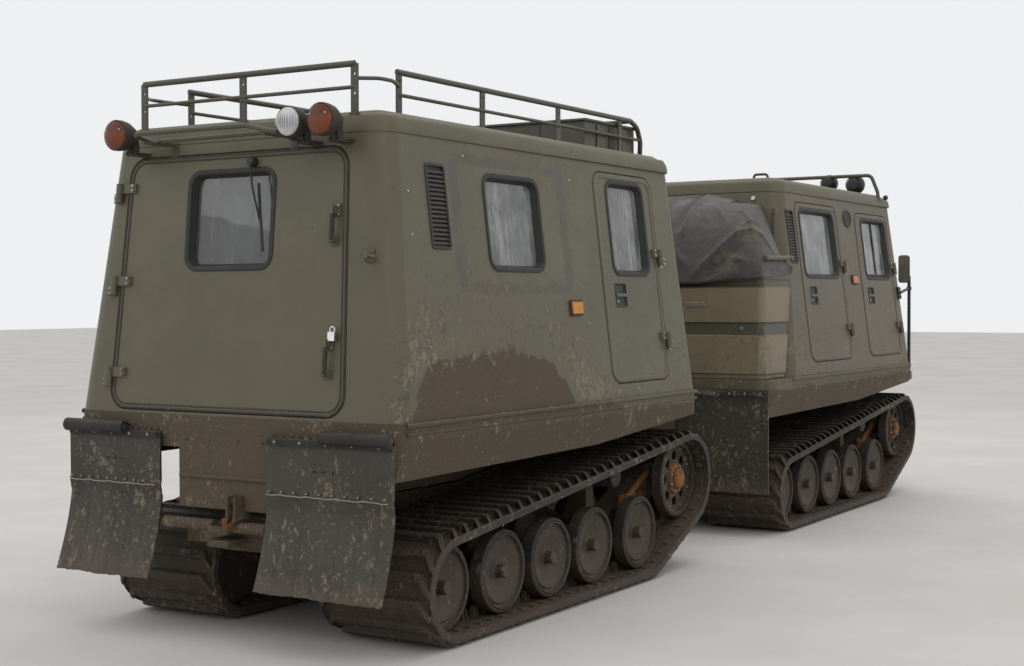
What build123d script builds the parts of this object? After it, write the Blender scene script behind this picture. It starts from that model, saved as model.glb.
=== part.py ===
"""Tracked all-terrain carrier: two tracked cars, hinged at a steering link.

Millimetres. +X is forward, +Y is left, +Z is up. Stations along X are counted from the rear
car's rear face; the finished pieces are moved back so that the origin lies on the ground
below the middle of the whole vehicle.
"""
from build123d import *
from collections import namedtuple
import math
import os

os.makedirs("parts", exist_ok=True)

# Driving sizes
FIT = 0.3                  # seat clearance between pieces of one body
RUNNING = 0.05             # radial clearance of a pin in its bore
DOOR_GAP = 6.0             # gap round a door

WALL = 40.0                # cab panels and doors
GLASS_THICK = 6.0
GLASS_DEPTH = 30.0         # outer face of the glass behind the wall's outer face
LEDGE_Z = 1010.0           # top of the tub, foot of the cab walls
GUTTER_Z = 2245.0          # foot of the roof panel
ROOF_RISE = 90.0
ROOF_Z = GUTTER_Z + ROOF_RISE   # top of the roof panel
CORNER = 115.0             # plan radius of the cab corners
ROOF_ROUND = 88.0
ROOF_STEPS = 4             # rings that make up the roof's rounded edge
END_PANEL = 95.0          # how far the end panels reach round the corners

# Plan of a cab at the ledge, and how much its faces lean in per millimetre of height
CAB_HALF = 935.0
Cab = namedtuple("Cab", "rear front half lean_rear lean_front lean_side")
REAR_CAB = Cab(0.0, 2945.0, CAB_HALF, 0.095, 0.055, 0.118)
FRONT_CAB = Cab(4350.0, 6945.0, CAB_HALF, 0.150, 0.048, 0.128)
FRONT_DECK = 3990.0        # rear end of the front car's tub

# Tub below the ledge
LEDGE = 10.0               # how far the tub stands out past the cab's foot
TUB_HALF = CAB_HALF + LEDGE
SKIRT_SLOPE = 45.0         # how far the skirt's lower edge lies in
SKIRT_HALF = TUB_HALF - SKIRT_SLOPE
SKIRT_THICK = 18.0
SKIRT_TOP = 935.0
SKIRT_Z = (765.0, 785.0, 875.0)   # lower edge at the rear, at mid length, at the front
DECK_Z = 865.0             # underside of the deck above the tracks
DECK_THICK = 38.0
TROUGH_HALF = 270.0        # footwell between the tracks
TROUGH_Z = 600.0

# Running gear, stations from the rear face of the rear car
TRACK_OUTER = 925.0
TRACK_WIDTH = 620.0
BELT_THICK = 30.0
LUG_HEIGHT = 30.0
LUG_PITCH = 92.0
LUG_ROOT = 54.0
LUG_TIP = 32.0
WHEEL_RADIUS = 195.0
SPROCKET_RADIUS = 220.0
ROLLER_RADIUS = 55.0
GEAR_STEP = 3950.0         # from the rear car's running gear to the front car's
AXLE_Z = LUG_HEIGHT + BELT_THICK + WHEEL_RADIUS
IDLER_X = 488.0
ROAD_X = (974.0, 1422.0, 1863.0, 2374.0)
SPROCKET_X = 2862.0
SPROCKET_Z = 500.0
ROLLER_X = 2118.0
DISC_OUTER = 842.0         # outer face of the outer wheel discs
DISC_WIDTH = 72.0
INNER_DISC = 392.0         # inner face of the inner wheel discs
FRAME_Y = (560.0, 670.0)   # track frame between the two rows of discs
STUB_RADIUS = 38.0

# Chassis and the link between the cars
JOINT_Z = 480.0
BEAM_HALF = 120.0
BEAM_Z = (400.0, 560.0)
REAR_BEAM = (120.0, 3040.0)
FRONT_BEAM = (3960.0, 6900.0)
YAW_X = 3600.0
PITCH_X = 3440.0
ROLL_FACE = 3300.0
YAW_PIN = 30.0
PITCH_PIN = 25.0
ROLL_SHAFT = 40.0
CYL_Z = 528.0              # steering cylinders' axes
CYL_ROD_X = 3500.0
CYL_ROD_Y = 262.0
CYL_BASE_X = 4150.0
CYL_BASE_Y = 215.0

# Openings in the right wall of each cab, mirrored for the left: x low, x high, z low, z high
REAR_WINDOW = (850.0, 1335.0, 1662.0, 2095.0)
REAR_SIDE_DOOR = (1905.0, 2580.0, 1082.0, 2190.0)
REAR_SIDE_DOOR_WINDOW = (2050.0, 2460.0, 1655.0, 2140.0)
AFT_DOOR = (4760.0, 5600.0, 1090.0, 2180.0)
AFT_DOOR_WINDOW = (4845.0, 5500.0, 1672.0, 2130.0)
FORE_DOOR = (5960.0, 6730.0, 1090.0, 2160.0)
FORE_DOOR_WINDOW = (6100.0, 6650.0, 1672.0, 2115.0)
DOOR_CORNER = 85.0
WINDOW_CORNER = 60.0
VENT = (395.0, 530.0, 1750.0, 2110.0)
VENT_FRONT = (4612.0, 4722.0, 1766.0, 2110.0)
VENT_CORNER = 10.0

# Back door in the rear face: half widths at its foot and head, heights
BACK_DOOR_HALF = 690.0
BACK_DOOR_HEAD = 640.0
BACK_DOOR_Z = (1022.0, 2184.0)
BACK_DOOR_SHIFT = 22.0     # the door's middle lies this far to the left
BACK_WINDOW = (-213.0, 280.0, 1665.0, 2098.0)   # y low, y high, z low, z high
BACK_CORNER = 100.0

# Sunk handles of the side doors
HANDLE_IN = 195.0          # handle's middle ahead of the door's rear edge
HANDLE_Z = 1543.0
HANDLE_SIZE = 120.0
HANDLE_DEPTH = 8.0
HANDLE_BAR = 16.0

# Windscreen panes in the front face: y low, y high, z low, z high
SCREEN = (32.0, 720.0, 1640.0, 2165.0)

# Hinges stand proud of the panels
KNUCKLE = 15.0
KNUCKLE_LENGTH = 44.0
HINGE_OUT = KNUCKLE + 3.0  # axis in front of the panel's outer face
STRAP = 8.0
HINGE_FOOT = 30.0

# Ends of the whole vehicle
FLAP_REACH = 125.0         # rear flaps' lower edge behind the rear face
BAR_FRONT = 7085.0         # front of the front guard bar
GUARD_TUBE = 28.0          # its tube's radius
GUARD_LOW = 900.0          # height of its low bar's axis
MID_X = (BAR_FRONT - FLAP_REACH) / 2


# Places worked out from the sizes
def half_at(cab, z):
    """Half width of a cab's outer face at height z."""
    return cab.half - cab.lean_side * (z - LEDGE_Z)


def rear_at(cab, z):
    """Station of a cab's rear face at height z."""
    return cab.rear + cab.lean_rear * (z - LEDGE_Z)


def front_at(cab, z):
    """Station of a cab's front face at height z."""
    return cab.front - cab.lean_front * (z - LEDGE_Z)


def unit(x, y, z):
    """The vector's direction as a tuple of length one."""
    size = math.sqrt(x * x + y * y + z * z)
    return (x / size, y / size, z / size)


# Building blocks
def block(x, y, z):
    """Box between low and high x, y and z."""
    return Pos(sum(x) / 2, sum(y) / 2, sum(z) / 2) * Box(x[1] - x[0], y[1] - y[0], z[1] - z[0])


def rod(start, end, radius):
    """Round bar between two points."""
    start = Vector(start)
    end = Vector(end)
    return Solid.make_cylinder(radius, (end - start).length, Plane(origin=start, z_dir=end - start))


def plate(plane, points, depth):
    """Polygon drawn on a plane and extruded."""
    return extrude(plane * make_face(Polyline(*points, close=True)), amount=depth)


def side_profile(points, y_from, width):
    """Outline in x and z, extruded from y_from towards the right by width."""
    return plate(Plane.XZ.offset(-y_from), points, width)


def mirrored(piece):
    """The same piece on the left side."""
    return piece.mirror(Plane.XZ)


def pair(piece):
    """The piece and its mirror image, as two solids."""
    return Compound([*piece.solids(), *mirrored(piece).solids()])


def wall_plane(cab, x, z):
    """Plane on the right wall's outer face: x forward, y up the wall, z outwards."""
    return Plane(
        origin=(x, -half_at(cab, z), z),
        x_dir=(1, 0, 0),
        z_dir=unit(0, -1, cab.lean_side),
    )


def back_plane(cab, y, z):
    """Plane on the rear face: x to the right, y up the face, z outwards."""
    return Plane(origin=(rear_at(cab, z), y, z), x_dir=(0, -1, 0), z_dir=unit(-1, 0, cab.lean_rear))


def screen_plane(cab, y, z):
    """Plane on the front face: x to the left, y up the face, z outwards."""
    return Plane(origin=(front_at(cab, z), y, z), x_dir=(0, 1, 0), z_dir=unit(1, 0, cab.lean_front))


def side_cut(cab, box, corner, shrink=0.0):
    """Cutter square to the right wall, from x low, x high, z low, z high."""
    x0, x1, z0, z1 = box
    rise = math.hypot(1, cab.lean_side)
    outline = RectangleRounded(x1 - x0 - 2 * shrink, (z1 - z0) * rise - 2 * shrink, corner - shrink)
    return extrude(wall_plane(cab, (x0 + x1) / 2, (z0 + z1) / 2) * outline, amount=WALL * 2, both=True)


def end_cut(plane, width, height, corner):
    """Cutter square to an end face."""
    return extrude(plane * RectangleRounded(width, height, corner), amount=WALL * 2, both=True)


# Cab shells
def cab_block(cab, inset):
    """The cab's outer form, or the same form set in on every side but the foot."""
    foot = LEDGE_Z if inset == 0 else LEDGE_Z - WALL
    head = ROOF_Z - inset
    edge = ROOF_ROUND - inset
    rings = [(foot, 0.0)]
    for i in range(ROOF_STEPS + 1):
        turn = math.pi / 2 * i / ROOF_STEPS
        rings.append((head - edge * (1 - math.sin(turn)), edge * (1 - math.cos(turn))))
    sections = []
    for z, round_in in rings:
        x0 = rear_at(cab, z) + inset + round_in
        x1 = front_at(cab, z) - inset - round_in
        half = half_at(cab, z) - inset - round_in
        outline = RectangleRounded(x1 - x0, 2 * half, CORNER - inset - round_in)
        sections.append(Pos((x0 + x1) / 2, 0, z) * outline)
    return loft(sections, ruled=True)


def end_zone(cab, depth, at_rear):
    """Everything within depth of a cab's end face, up to the gutter."""
    low = (LEDGE_Z - WALL, GUTTER_Z)
    if at_rear:
        inner = [(rear_at(cab, z) + depth, z) for z in low]
        outer = [(rear_at(cab, z) - WALL, z) for z in low]
    else:
        inner = [(front_at(cab, z) - depth, z) for z in low]
        outer = [(front_at(cab, z) + WALL, z) for z in low]
    return side_profile([inner[0], inner[1], outer[1], outer[0]], TRACK_OUTER * 1.2, TRACK_OUTER * 2.4)


def cab_panels(cab):
    """Shell of a cab, its roof, and the rear, front and right panels."""
    shell = cab_block(cab, 0) - cab_block(cab, WALL)
    far = 2 * WALL
    top = block((cab.rear - far, cab.front + far), (-cab.half - far, cab.half + far), (GUTTER_Z, ROOF_Z + far))
    zone_rear = end_zone(cab, END_PANEL, True)
    zone_front = end_zone(cab, END_PANEL, False)
    right = block((cab.rear - far, cab.front + far), (-cab.half - far, 0), (LEDGE_Z - far, GUTTER_Z))
    roof = shell & top
    rear = shell & zone_rear
    front = shell & zone_front
    side = (shell & right) - zone_rear - zone_front
    return shell, roof, rear, front, side


def pane(cab, cutter):
    """Glass in an opening, set back from the outer face."""
    skin = cab_block(cab, GLASS_DEPTH) - cab_block(cab, GLASS_DEPTH + GLASS_THICK)
    return skin & cutter


def knuckle(plane, along, reach):
    """Half of a lift-off hinge: eight-sided barrel, strap and foot, on a panel's outer face."""
    barrel = plane * Pos(0, along, HINGE_OUT) * Rot(90, 0, 0) * extrude(
        RegularPolygon(KNUCKLE, 8, major_radius=False), amount=KNUCKLE_LENGTH / 2, both=True)
    strap = plane * Pos(reach / 2, along, HINGE_OUT / 2) * Box(abs(reach), KNUCKLE_LENGTH, STRAP)
    end = reach - math.copysign(HINGE_FOOT / 2, reach)
    foot = plane * Pos(end, along, 0) * Box(HINGE_FOOT, KNUCKLE_LENGTH, HINGE_OUT)
    return barrel + strap + foot


def hinge_halves(plane, heights, on_frame, on_door):
    """Lower halves on the frame and upper halves on the door, for each height on the plane."""
    shift = KNUCKLE_LENGTH / 2 + FIT / 2
    fixed = [knuckle(plane, height - shift, on_frame) for height in heights]
    moving = [knuckle(plane, height + shift, on_door) for height in heights]
    return fixed, moving


# Doors in a side wall, hinged at their front edges
def side_door(cab, wall, shell, box, window, heights):
    """Cut a door out of the right wall: the wall, the door and its glass."""
    outline = side_cut(cab, box, DOOR_CORNER, DOOR_GAP)
    glass_cut = side_cut(cab, window, WINDOW_CORNER)
    hinge_plane = wall_plane(cab, box[1] - DOOR_GAP / 2, 0)
    rise = math.hypot(1, cab.lean_side)
    fixed, moving = hinge_halves(hinge_plane, [z * rise for z in heights], 52, -70)
    handle = wall_plane(cab, box[0] + HANDLE_IN, HANDLE_Z)
    door = (shell & outline) - glass_cut - handle * Box(HANDLE_SIZE, HANDLE_SIZE, 2 * HANDLE_DEPTH)
    bar = handle * Pos(0, 0, -HANDLE_DEPTH / 2) * Box(HANDLE_SIZE, HANDLE_BAR, HANDLE_DEPTH)
    door = door + moving[0] + moving[1] + bar
    wall = wall - side_cut(cab, box, DOOR_CORNER) + fixed[0] + fixed[1]
    return wall, door, pane(cab, glass_cut)


# Tub under a cab
def tub(x0, x1):
    """Deck with its skirts and ends, and the footwell pan let into it."""
    inner = TUB_HALF - WALL
    foot = DECK_Z + DECK_THICK
    half = [
        (SKIRT_HALF - SKIRT_THICK, DECK_Z),
        (SKIRT_HALF - SKIRT_THICK, SKIRT_Z[0]),
        (SKIRT_HALF, SKIRT_Z[0]),
        (TUB_HALF, SKIRT_TOP),
        (TUB_HALF, LEDGE_Z),
        (inner, LEDGE_Z),
        (inner, foot),
    ]
    outline = half + [(-y, z) for y, z in reversed(half)]
    plane = Plane(origin=(x0, 0, 0), x_dir=(0, 1, 0), z_dir=(1, 0, 0))
    deck = plate(plane, outline, x1 - x0)
    for x in ((x0, x0 + WALL), (x1 - WALL, x1)):
        deck += block(x, (-inner, inner), (DECK_Z, LEDGE_Z))
    plan = Pos((x0 + x1) / 2, 0, 0) * RectangleRounded(x1 - x0, 2 * TUB_HALF, CORNER + 5)
    deck = deck & extrude(plan, amount=LEDGE_Z)
    below = [
        (x0 - 10, SKIRT_Z[0] - 40),
        (x0 - 10, SKIRT_Z[0]),
        (x0 + (x1 - x0) * 0.6, SKIRT_Z[1]),
        (x1 + 10, SKIRT_Z[2]),
        (x1 + 10, SKIRT_Z[0] - 40),
    ]
    under = side_profile(below, -TROUGH_HALF - WALL, TUB_HALF)
    deck = deck - under - mirrored(under)
    side = TROUGH_HALF + FIT
    deck -= block((x0 + WALL, x1 - WALL), (-side, side), (DECK_Z - 10, foot + 10))
    pan = block((x0, x1), (-TROUGH_HALF, TROUGH_HALF), (TROUGH_Z, DECK_Z - FIT))
    pan += block((x0 + WALL + FIT, x1 - WALL - FIT), (-TROUGH_HALF, TROUGH_HALF), (DECK_Z - WALL, foot))
    room = (TROUGH_Z + WALL, foot + 10)
    pan -= block((x0 + WALL, x1 - WALL), (-TROUGH_HALF + WALL, TROUGH_HALF - WALL), room)
    return as_compound([deck, pan])


# Running gear
Wheel = namedtuple("Wheel", "x z radius")
IDLER = Wheel(IDLER_X, AXLE_Z, WHEEL_RADIUS)
SPROCKET = Wheel(SPROCKET_X, SPROCKET_Z, SPROCKET_RADIUS)
ROADS = [Wheel(x, AXLE_Z, WHEEL_RADIUS) for x in ROAD_X]


def belt_path(offset):
    """Lines and arcs round the idler, the last road wheel and the sprocket."""
    rounds = [IDLER, ROADS[-1], SPROCKET]
    normals = []
    for a, b in zip(rounds, rounds[1:] + rounds[:1]):
        dx, dz = b.x - a.x, b.z - a.z
        span = math.hypot(dx, dz)
        turn = math.asin((a.radius - b.radius) / span)
        normals.append(math.atan2(dz, dx) - math.pi / 2 + turn)
    pieces = []
    for i, (a, b) in enumerate(zip(rounds, rounds[1:] + rounds[:1])):
        start, following = normals[i], normals[(i + 1) % 3]
        sweep = (following - start) % (2 * math.pi)
        p = (a.x + (a.radius + offset) * math.cos(start), a.z + (a.radius + offset) * math.sin(start))
        q = (b.x + (b.radius + offset) * math.cos(start), b.z + (b.radius + offset) * math.sin(start))
        pieces.append((p, q, b, start, sweep))
    return pieces


def belt_point(pieces, offset, along):
    """Point of the belt's path at a distance along it, pushed out by offset."""
    for p, q, wheel, start, sweep in pieces:
        run = math.dist(p, q)
        if along <= run:
            share = along / run
            return (p[0] + (q[0] - p[0]) * share + offset * math.cos(start),
                    p[1] + (q[1] - p[1]) * share + offset * math.sin(start))
        along -= run
        bend = wheel.radius * sweep
        if along <= bend:
            angle = start + along / wheel.radius
            reach = wheel.radius + offset
            return (wheel.x + reach * math.cos(angle), wheel.z + reach * math.sin(angle))
        along -= bend
    return belt_point(pieces, offset, 0.0)


def track_solid():
    """Closed rubber belt with its lugs, on the right side of the rear car."""
    pieces = belt_path(0)
    length = sum(math.dist(p, q) + w.radius * sweep for p, q, w, _, sweep in pieces)
    count = round(length / LUG_PITCH)
    pitch = length / count
    outline = []
    for i in range(count):
        centre = (i + 0.5) * pitch
        for shift, height in ((-LUG_ROOT, 0), (-LUG_TIP, LUG_HEIGHT), (LUG_TIP, LUG_HEIGHT), (LUG_ROOT, 0)):
            outline.append(belt_point(pieces, BELT_THICK + height, centre + shift / 2))
    hole = []
    for p, q, wheel, start, sweep in belt_path(FIT):
        hole.append(Line(p, q))
        mid = start + sweep / 2
        end = start + sweep
        reach = wheel.radius + FIT
        hole.append(ThreePointArc(q, (wheel.x + reach * math.cos(mid), wheel.z + reach * math.sin(mid)),
                                  (wheel.x + reach * math.cos(end), wheel.z + reach * math.sin(end))))
    plane = Plane.XZ.offset(TRACK_OUTER - TRACK_WIDTH)
    belt = extrude(plane * make_face(Polyline(*outline, close=True)), amount=TRACK_WIDTH)
    inside = extrude(plane * make_face(Wire(hole)), amount=TRACK_WIDTH)
    return belt - inside


def turned(profile, x, z):
    """Round piece about a cross axis at x and z, from radius and y pairs."""
    plane = Plane(origin=(x, 0, z), x_dir=(1, 0, 0), z_dir=(0, 0, 1))
    face = plane * make_face(Polyline(*profile, close=True))
    return revolve(face, Axis((x, 0, z), (0, 1, 0)), 360)


def wheel_solids(wheel, dish):
    """Outer and inner disc of one wheel, each on its stub at the track frame."""
    face = -DISC_OUTER
    back = face + DISC_WIDTH
    rim = wheel.radius - 26
    outer = [
        (0, -FRAME_Y[1]),
        (STUB_RADIUS, -FRAME_Y[1]),
        (STUB_RADIUS, back - 10),
        (rim - 10, back - 10),
        (wheel.radius, back),
        (wheel.radius, face),
        (rim, face),
        (rim - 8, face + dish),
        (62, face + 14),
        (48, face - 16),
        (0, face - 16),
    ]
    near = -INNER_DISC
    inner = [
        (0, -FRAME_Y[0]),
        (STUB_RADIUS, -FRAME_Y[0]),
        (STUB_RADIUS, near - DISC_WIDTH + 20),
        (wheel.radius, near - DISC_WIDTH),
        (wheel.radius, near),
        (0, near),
    ]
    return [turned(outer, wheel.x, wheel.z), turned(inner, wheel.x, wheel.z)]


def wheel_set():
    """Idler, road wheels, sprocket and return roller of the rear car's right side."""
    solids = []
    for wheel in [IDLER, *ROADS]:
        solids += wheel_solids(wheel, 40)
    drive = wheel_solids(SPROCKET, 30)
    holes = []
    for i in range(8):
        angle = i * math.pi / 4
        x = SPROCKET_X + 130 * math.cos(angle)
        z = SPROCKET_Z + 130 * math.sin(angle)
        holes.append(rod((x, -DISC_OUTER - 20, z), (x, -DISC_OUTER + DISC_WIDTH, z), 28))
    solids += [drive[0] - holes, drive[1]]
    roller_z = roller_height()
    for low, high in ((-DISC_OUTER + 10, -FRAME_Y[1]), (-FRAME_Y[0], -INNER_DISC)):
        solids.append(rod((ROLLER_X, low, roller_z), (ROLLER_X, high, roller_z), ROLLER_RADIUS))
    return Compound([s for piece in solids for s in piece.solids()])


def roller_height():
    """Axis of the return roller, just below the belt's top run."""
    p, q, _, start, _ = belt_path(0)[2]
    share = (ROLLER_X - p[0]) / (q[0] - p[0])
    return p[1] + (q[1] - p[1]) * share - (ROLLER_RADIUS + FIT) / math.sin(start)


def track_frame():
    """Beam between the two rows of discs, with the arm that holds the sprocket's bearing."""
    points = [
        (IDLER_X - 75, AXLE_Z - 45),
        (ROAD_X[-1] + 40, AXLE_Z - 45),
        (SPROCKET_X + 90, SPROCKET_Z - 75),
        (SPROCKET_X + 90, SPROCKET_Z + 80),
        (SPROCKET_X - 90, SPROCKET_Z + 80),
        (ROAD_X[-1] - 110, AXLE_Z + 65),
        (IDLER_X - 75, AXLE_Z + 65),
    ]
    beam = side_profile(points, -FRAME_Y[0], FRAME_Y[1] - FRAME_Y[0])
    post = block((ROLLER_X - 40, ROLLER_X + 40), (-FRAME_Y[1], -FRAME_Y[0]), (AXLE_Z, roller_height() + 40))
    return beam + post


# Chassis
ARM_X = ((IDLER_X + ROAD_X[0]) / 2, (ROAD_X[2] + ROAD_X[3]) / 2)


def chassis(beam, step):
    """Central beam, cross arms to the track frames, drive tube and tub mounts."""
    body = block(beam, (-BEAM_HALF, BEAM_HALF), BEAM_Z)
    for x in ARM_X:
        arm = [
            (BEAM_HALF - 20, 520),
            (FRAME_Y[0], 315),
            (FRAME_Y[0], 235),
            (BEAM_HALF - 20, 420),
        ]
        plane = Plane(origin=(x + step - 30, 0, 0), x_dir=(0, 1, 0), z_dir=(1, 0, 0))
        side = plate(plane, arm, 60)
        body += side
        body += mirrored(side)
    ends = INNER_DISC - FIT
    body += rod((SPROCKET_X + step, -ends, SPROCKET_Z), (SPROCKET_X + step, ends, SPROCKET_Z), 62)
    for x in (500.0, 1420.0, 2500.0):
        body += block((x + step - 50, x + step + 50), (-100, 100), (BEAM_Z[1] - 5, TROUGH_Z))
    return body


def rear_chassis():
    """Rear car's chassis with the roll bearing in its nose."""
    body = chassis(REAR_BEAM, 0)
    nose = rod((REAR_BEAM[1] - 20, 0, JOINT_Z), (ROLL_FACE - DOOR_GAP, 0, JOINT_Z), 72)
    bore = rod((REAR_BEAM[1] - 40, 0, JOINT_Z), (ROLL_FACE + 10, 0, JOINT_Z), ROLL_SHAFT + RUNNING)
    return body + nose - bore


def front_chassis():
    """Front car's chassis with the fork and pin of the steering pivot."""
    body = chassis(FRONT_BEAM, GEAR_STEP)
    tongue = 75.0
    for z in ((JOINT_Z - 95, JOINT_Z - 65), (JOINT_Z + 65, JOINT_Z + 95)):
        body += block((YAW_X, FRONT_BEAM[0] + 60), (-tongue, tongue), z)
        body += Pos(YAW_X, 0, sum(z) / 2) * Cylinder(tongue, z[1] - z[0])
    body += Pos(YAW_X, 0, JOINT_Z) * Cylinder(YAW_PIN, 210)
    top = CYL_Z - 38
    for side in (-1, 1):
        y = sorted((side * (BEAM_HALF - 10), side * (CYL_BASE_Y + 40)))
        body += block((CYL_BASE_X - 40, CYL_BASE_X + 40), y, (top - 40, top))
        body += rod((CYL_BASE_X, side * CYL_BASE_Y, top - 5), (CYL_BASE_X, side * CYL_BASE_Y, CYL_Z + 45), 15)
    return body


def steer_link():
    """Hub on the steering pin, the steering arms and the tongue for the pitch pin."""
    hub = Pos(YAW_X, 0, JOINT_Z) * Cylinder(80, 120)
    tongue = block((PITCH_X, YAW_X - 40), (-45, 45), (JOINT_Z - 55, JOINT_Z + 55))
    eye = rod((PITCH_X, -45, JOINT_Z), (PITCH_X, 45, JOINT_Z), 58)
    body = hub + tongue + eye
    top = CYL_Z - 38 - FIT
    for side in (-1, 1):
        arm = [
            (YAW_X - 45, side * 40),
            (YAW_X + 35, side * 40),
            (CYL_ROD_X + 40, side * (CYL_ROD_Y + 30)),
            (CYL_ROD_X - 40, side * (CYL_ROD_Y + 30)),
        ]
        body += extrude(Pos(0, 0, top - 34) * make_face(Polyline(*arm, close=True)), amount=34)
    body -= Pos(YAW_X, 0, JOINT_Z) * Cylinder(YAW_PIN + RUNNING, 300)
    body -= rod((PITCH_X, -60, JOINT_Z), (PITCH_X, 60, JOINT_Z), PITCH_PIN + RUNNING)
    return body


def pitch_link():
    """Fork on the pitch pin and the shaft of the roll bearing."""
    inner = 45 + DOOR_GAP
    outer = inner + 34
    back = block((ROLL_FACE, PITCH_X - 72), (-outer, outer), (JOINT_Z - 60, JOINT_Z + 60))
    body = back
    for side in (-1, 1):
        y = sorted((side * inner, side * outer))
        body += block((PITCH_X - 80, PITCH_X), y, (JOINT_Z - 45, JOINT_Z + 45))
        body += rod((PITCH_X, y[0], JOINT_Z), (PITCH_X, y[1], JOINT_Z), 56)
    body += rod((PITCH_X, -outer, JOINT_Z), (PITCH_X, outer, JOINT_Z), PITCH_PIN)
    body += rod((REAR_BEAM[1] + 10, 0, JOINT_Z), (ROLL_FACE + 10, 0, JOINT_Z), ROLL_SHAFT)
    return body


def cylinder_frame():
    """Plane of the right steering cylinder: z runs from its base to its rod's eye."""
    base = Vector(CYL_BASE_X, -CYL_BASE_Y, CYL_Z)
    eye = Vector(CYL_ROD_X, -CYL_ROD_Y, CYL_Z)
    return Plane(origin=base, z_dir=eye - base), (eye - base).length


def steering_barrel():
    """Barrel with its eye on the front car's bracket."""
    plane, _ = cylinder_frame()
    body = Pos(CYL_BASE_X, -CYL_BASE_Y, CYL_Z) * Cylinder(38, 76 - FIT * 2)
    body += plane * Pos(0, 0, 215) * Cylinder(37, 370)
    body -= plane * Pos(0, 0, 250) * Cylinder(16 + RUNNING, 340)
    body -= Pos(CYL_BASE_X, -CYL_BASE_Y, CYL_Z) * Cylinder(15 + RUNNING, 200)
    return body


def steering_rod():
    """Piston rod with the eye and pin that stand on the steering arm."""
    plane, length = cylinder_frame()
    body = plane * Pos(0, 0, (235 + length) / 2) * Cylinder(16, length - 235)
    body += Pos(CYL_ROD_X, -CYL_ROD_Y, CYL_Z) * Cylinder(36, 76)
    return body


# Pieces of the rear car
def back_door_outline(shrink):
    """Cutter for the back door, square to the rear face."""
    rise = math.hypot(1, REAR_CAB.lean_rear)
    z0, z1 = BACK_DOOR_Z
    foot = BACK_DOOR_HALF - shrink
    head = BACK_DOOR_HEAD - shrink
    half_height = (z1 - z0) / 2 * rise - shrink
    points = [(-foot, -half_height), (foot, -half_height), (head, half_height), (-head, half_height)]
    face = make_face(Polyline(*points, close=True))
    face = fillet(face.vertices(), BACK_CORNER - shrink)
    return extrude(back_plane(REAR_CAB, BACK_DOOR_SHIFT, (z0 + z1) / 2) * face, amount=2 * WALL, both=True)


def back_panel(shell, rear):
    """Rear wall, back door and its glass."""
    y0, y1, z0, z1 = BACK_WINDOW
    cut = end_cut(back_plane(REAR_CAB, (y0 + y1) / 2, (z0 + z1) / 2), y1 - y0, z1 - z0, WINDOW_CORNER)
    rise = math.hypot(1, REAR_CAB.lean_rear)
    plane = back_plane(REAR_CAB, BACK_DOOR_SHIFT + BACK_DOOR_HALF - DOOR_GAP / 2, 0)
    fixed, moving = hinge_halves(plane, [z * rise for z in BACK_HINGES], -38, 95)
    door = (shell & back_door_outline(DOOR_GAP)) - cut
    for part in moving:
        door += part
    for z in LATCH_Z:
        latch = back_plane(REAR_CAB, LATCH_Y, z)
        door += latch * Pos(0, 0, LATCH_OUT) * Rot(90, 0, 0) * Cylinder(LATCH_ROD, LATCH_LENGTH)
        for end in (-1, 1):
            foot = (LATCH_LENGTH - LATCH_FOOT) / 2 * end
            door += latch * Pos(0, foot, LATCH_OUT / 2) * Box(LATCH_FOOT, LATCH_FOOT, LATCH_OUT)
    wall = rear - back_door_outline(0)
    for part in fixed:
        wall += part
    return wall, door, pane(REAR_CAB, cut)


LATCH_Y = -565.0
LATCH_Z = (1275.0, 1840.0)
LATCH_LENGTH = 150.0
LATCH_ROD = 9.0
LATCH_OUT = 28.0
LATCH_FOOT = 26.0
BACK_HINGES = (1170.0, 1590.0, 2020.0)
SIDE_HINGES = (1296.0, 1749.0)


def roof_rack():
    """Rails on flat uprights, open at the rear corners, bent down at the front."""
    rail, thin = 14.0, 9.0
    half, top, low = 618.0, ROOF_Z + 195, ROOF_Z + 95
    rear_x, side0, side1, front_x = 150.0, 465.0, 2700.0, 2825.0
    corner_z, corner_out = ROOF_Z + 135, 672.0
    foot = GUTTER_Z
    body = rod((rear_x, -half, top), (rear_x, half, top), rail)
    body += rod((rear_x, -half, low), (rear_x, half, low), thin)
    body += rod((side1, -half, top), (side1, half, top), thin)
    for side in (-1, 1):
        y = side * half
        body += rod((side0, y, top), (side1, y, top), rail)
        body += Pos(side1, y, top) * Sphere(rail)
        body += rod((side1, y, top), (front_x, y, ROOF_Z - 40), rail)
        body += rod((side0, y, low), (side1 + 70, y, low), thin)
        out = side * corner_out
        body += rod((rear_x, y, corner_z), (rear_x + 100, out, corner_z), thin)
        body += rod((rear_x + 100, out, corner_z), (side0 - 100, out, corner_z), thin)
        body += rod((side0 - 100, out, corner_z), (side0, y, corner_z), thin)
        for x in (rear_x + 100, side0 - 100):
            body += Pos(x, out, corner_z) * Sphere(thin)
        for x in (rear_x, side0, 1150.0, 1880.0, 2570.0):
            body += block((x - 20, x + 20), (y - 6, y + 6), (foot, top))
    body += block((rear_x - 6, rear_x + 6), (-20, 20), (foot, top))
    return body - cab_block(REAR_CAB, -FIT)


def roof_tray():
    """Open sheet tray on the front of the rear car's roof."""
    x, half, top, sheet = (2215.0, 2800.0), 590.0, ROOF_Z + 165, 10.0
    low = ROOF_Z + FIT
    body = block(x, (-half, half), (low, top))
    return body - block((x[0] + sheet, x[1] - sheet), (-half + sheet, half - sheet), (low + sheet, top + 10))


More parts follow.
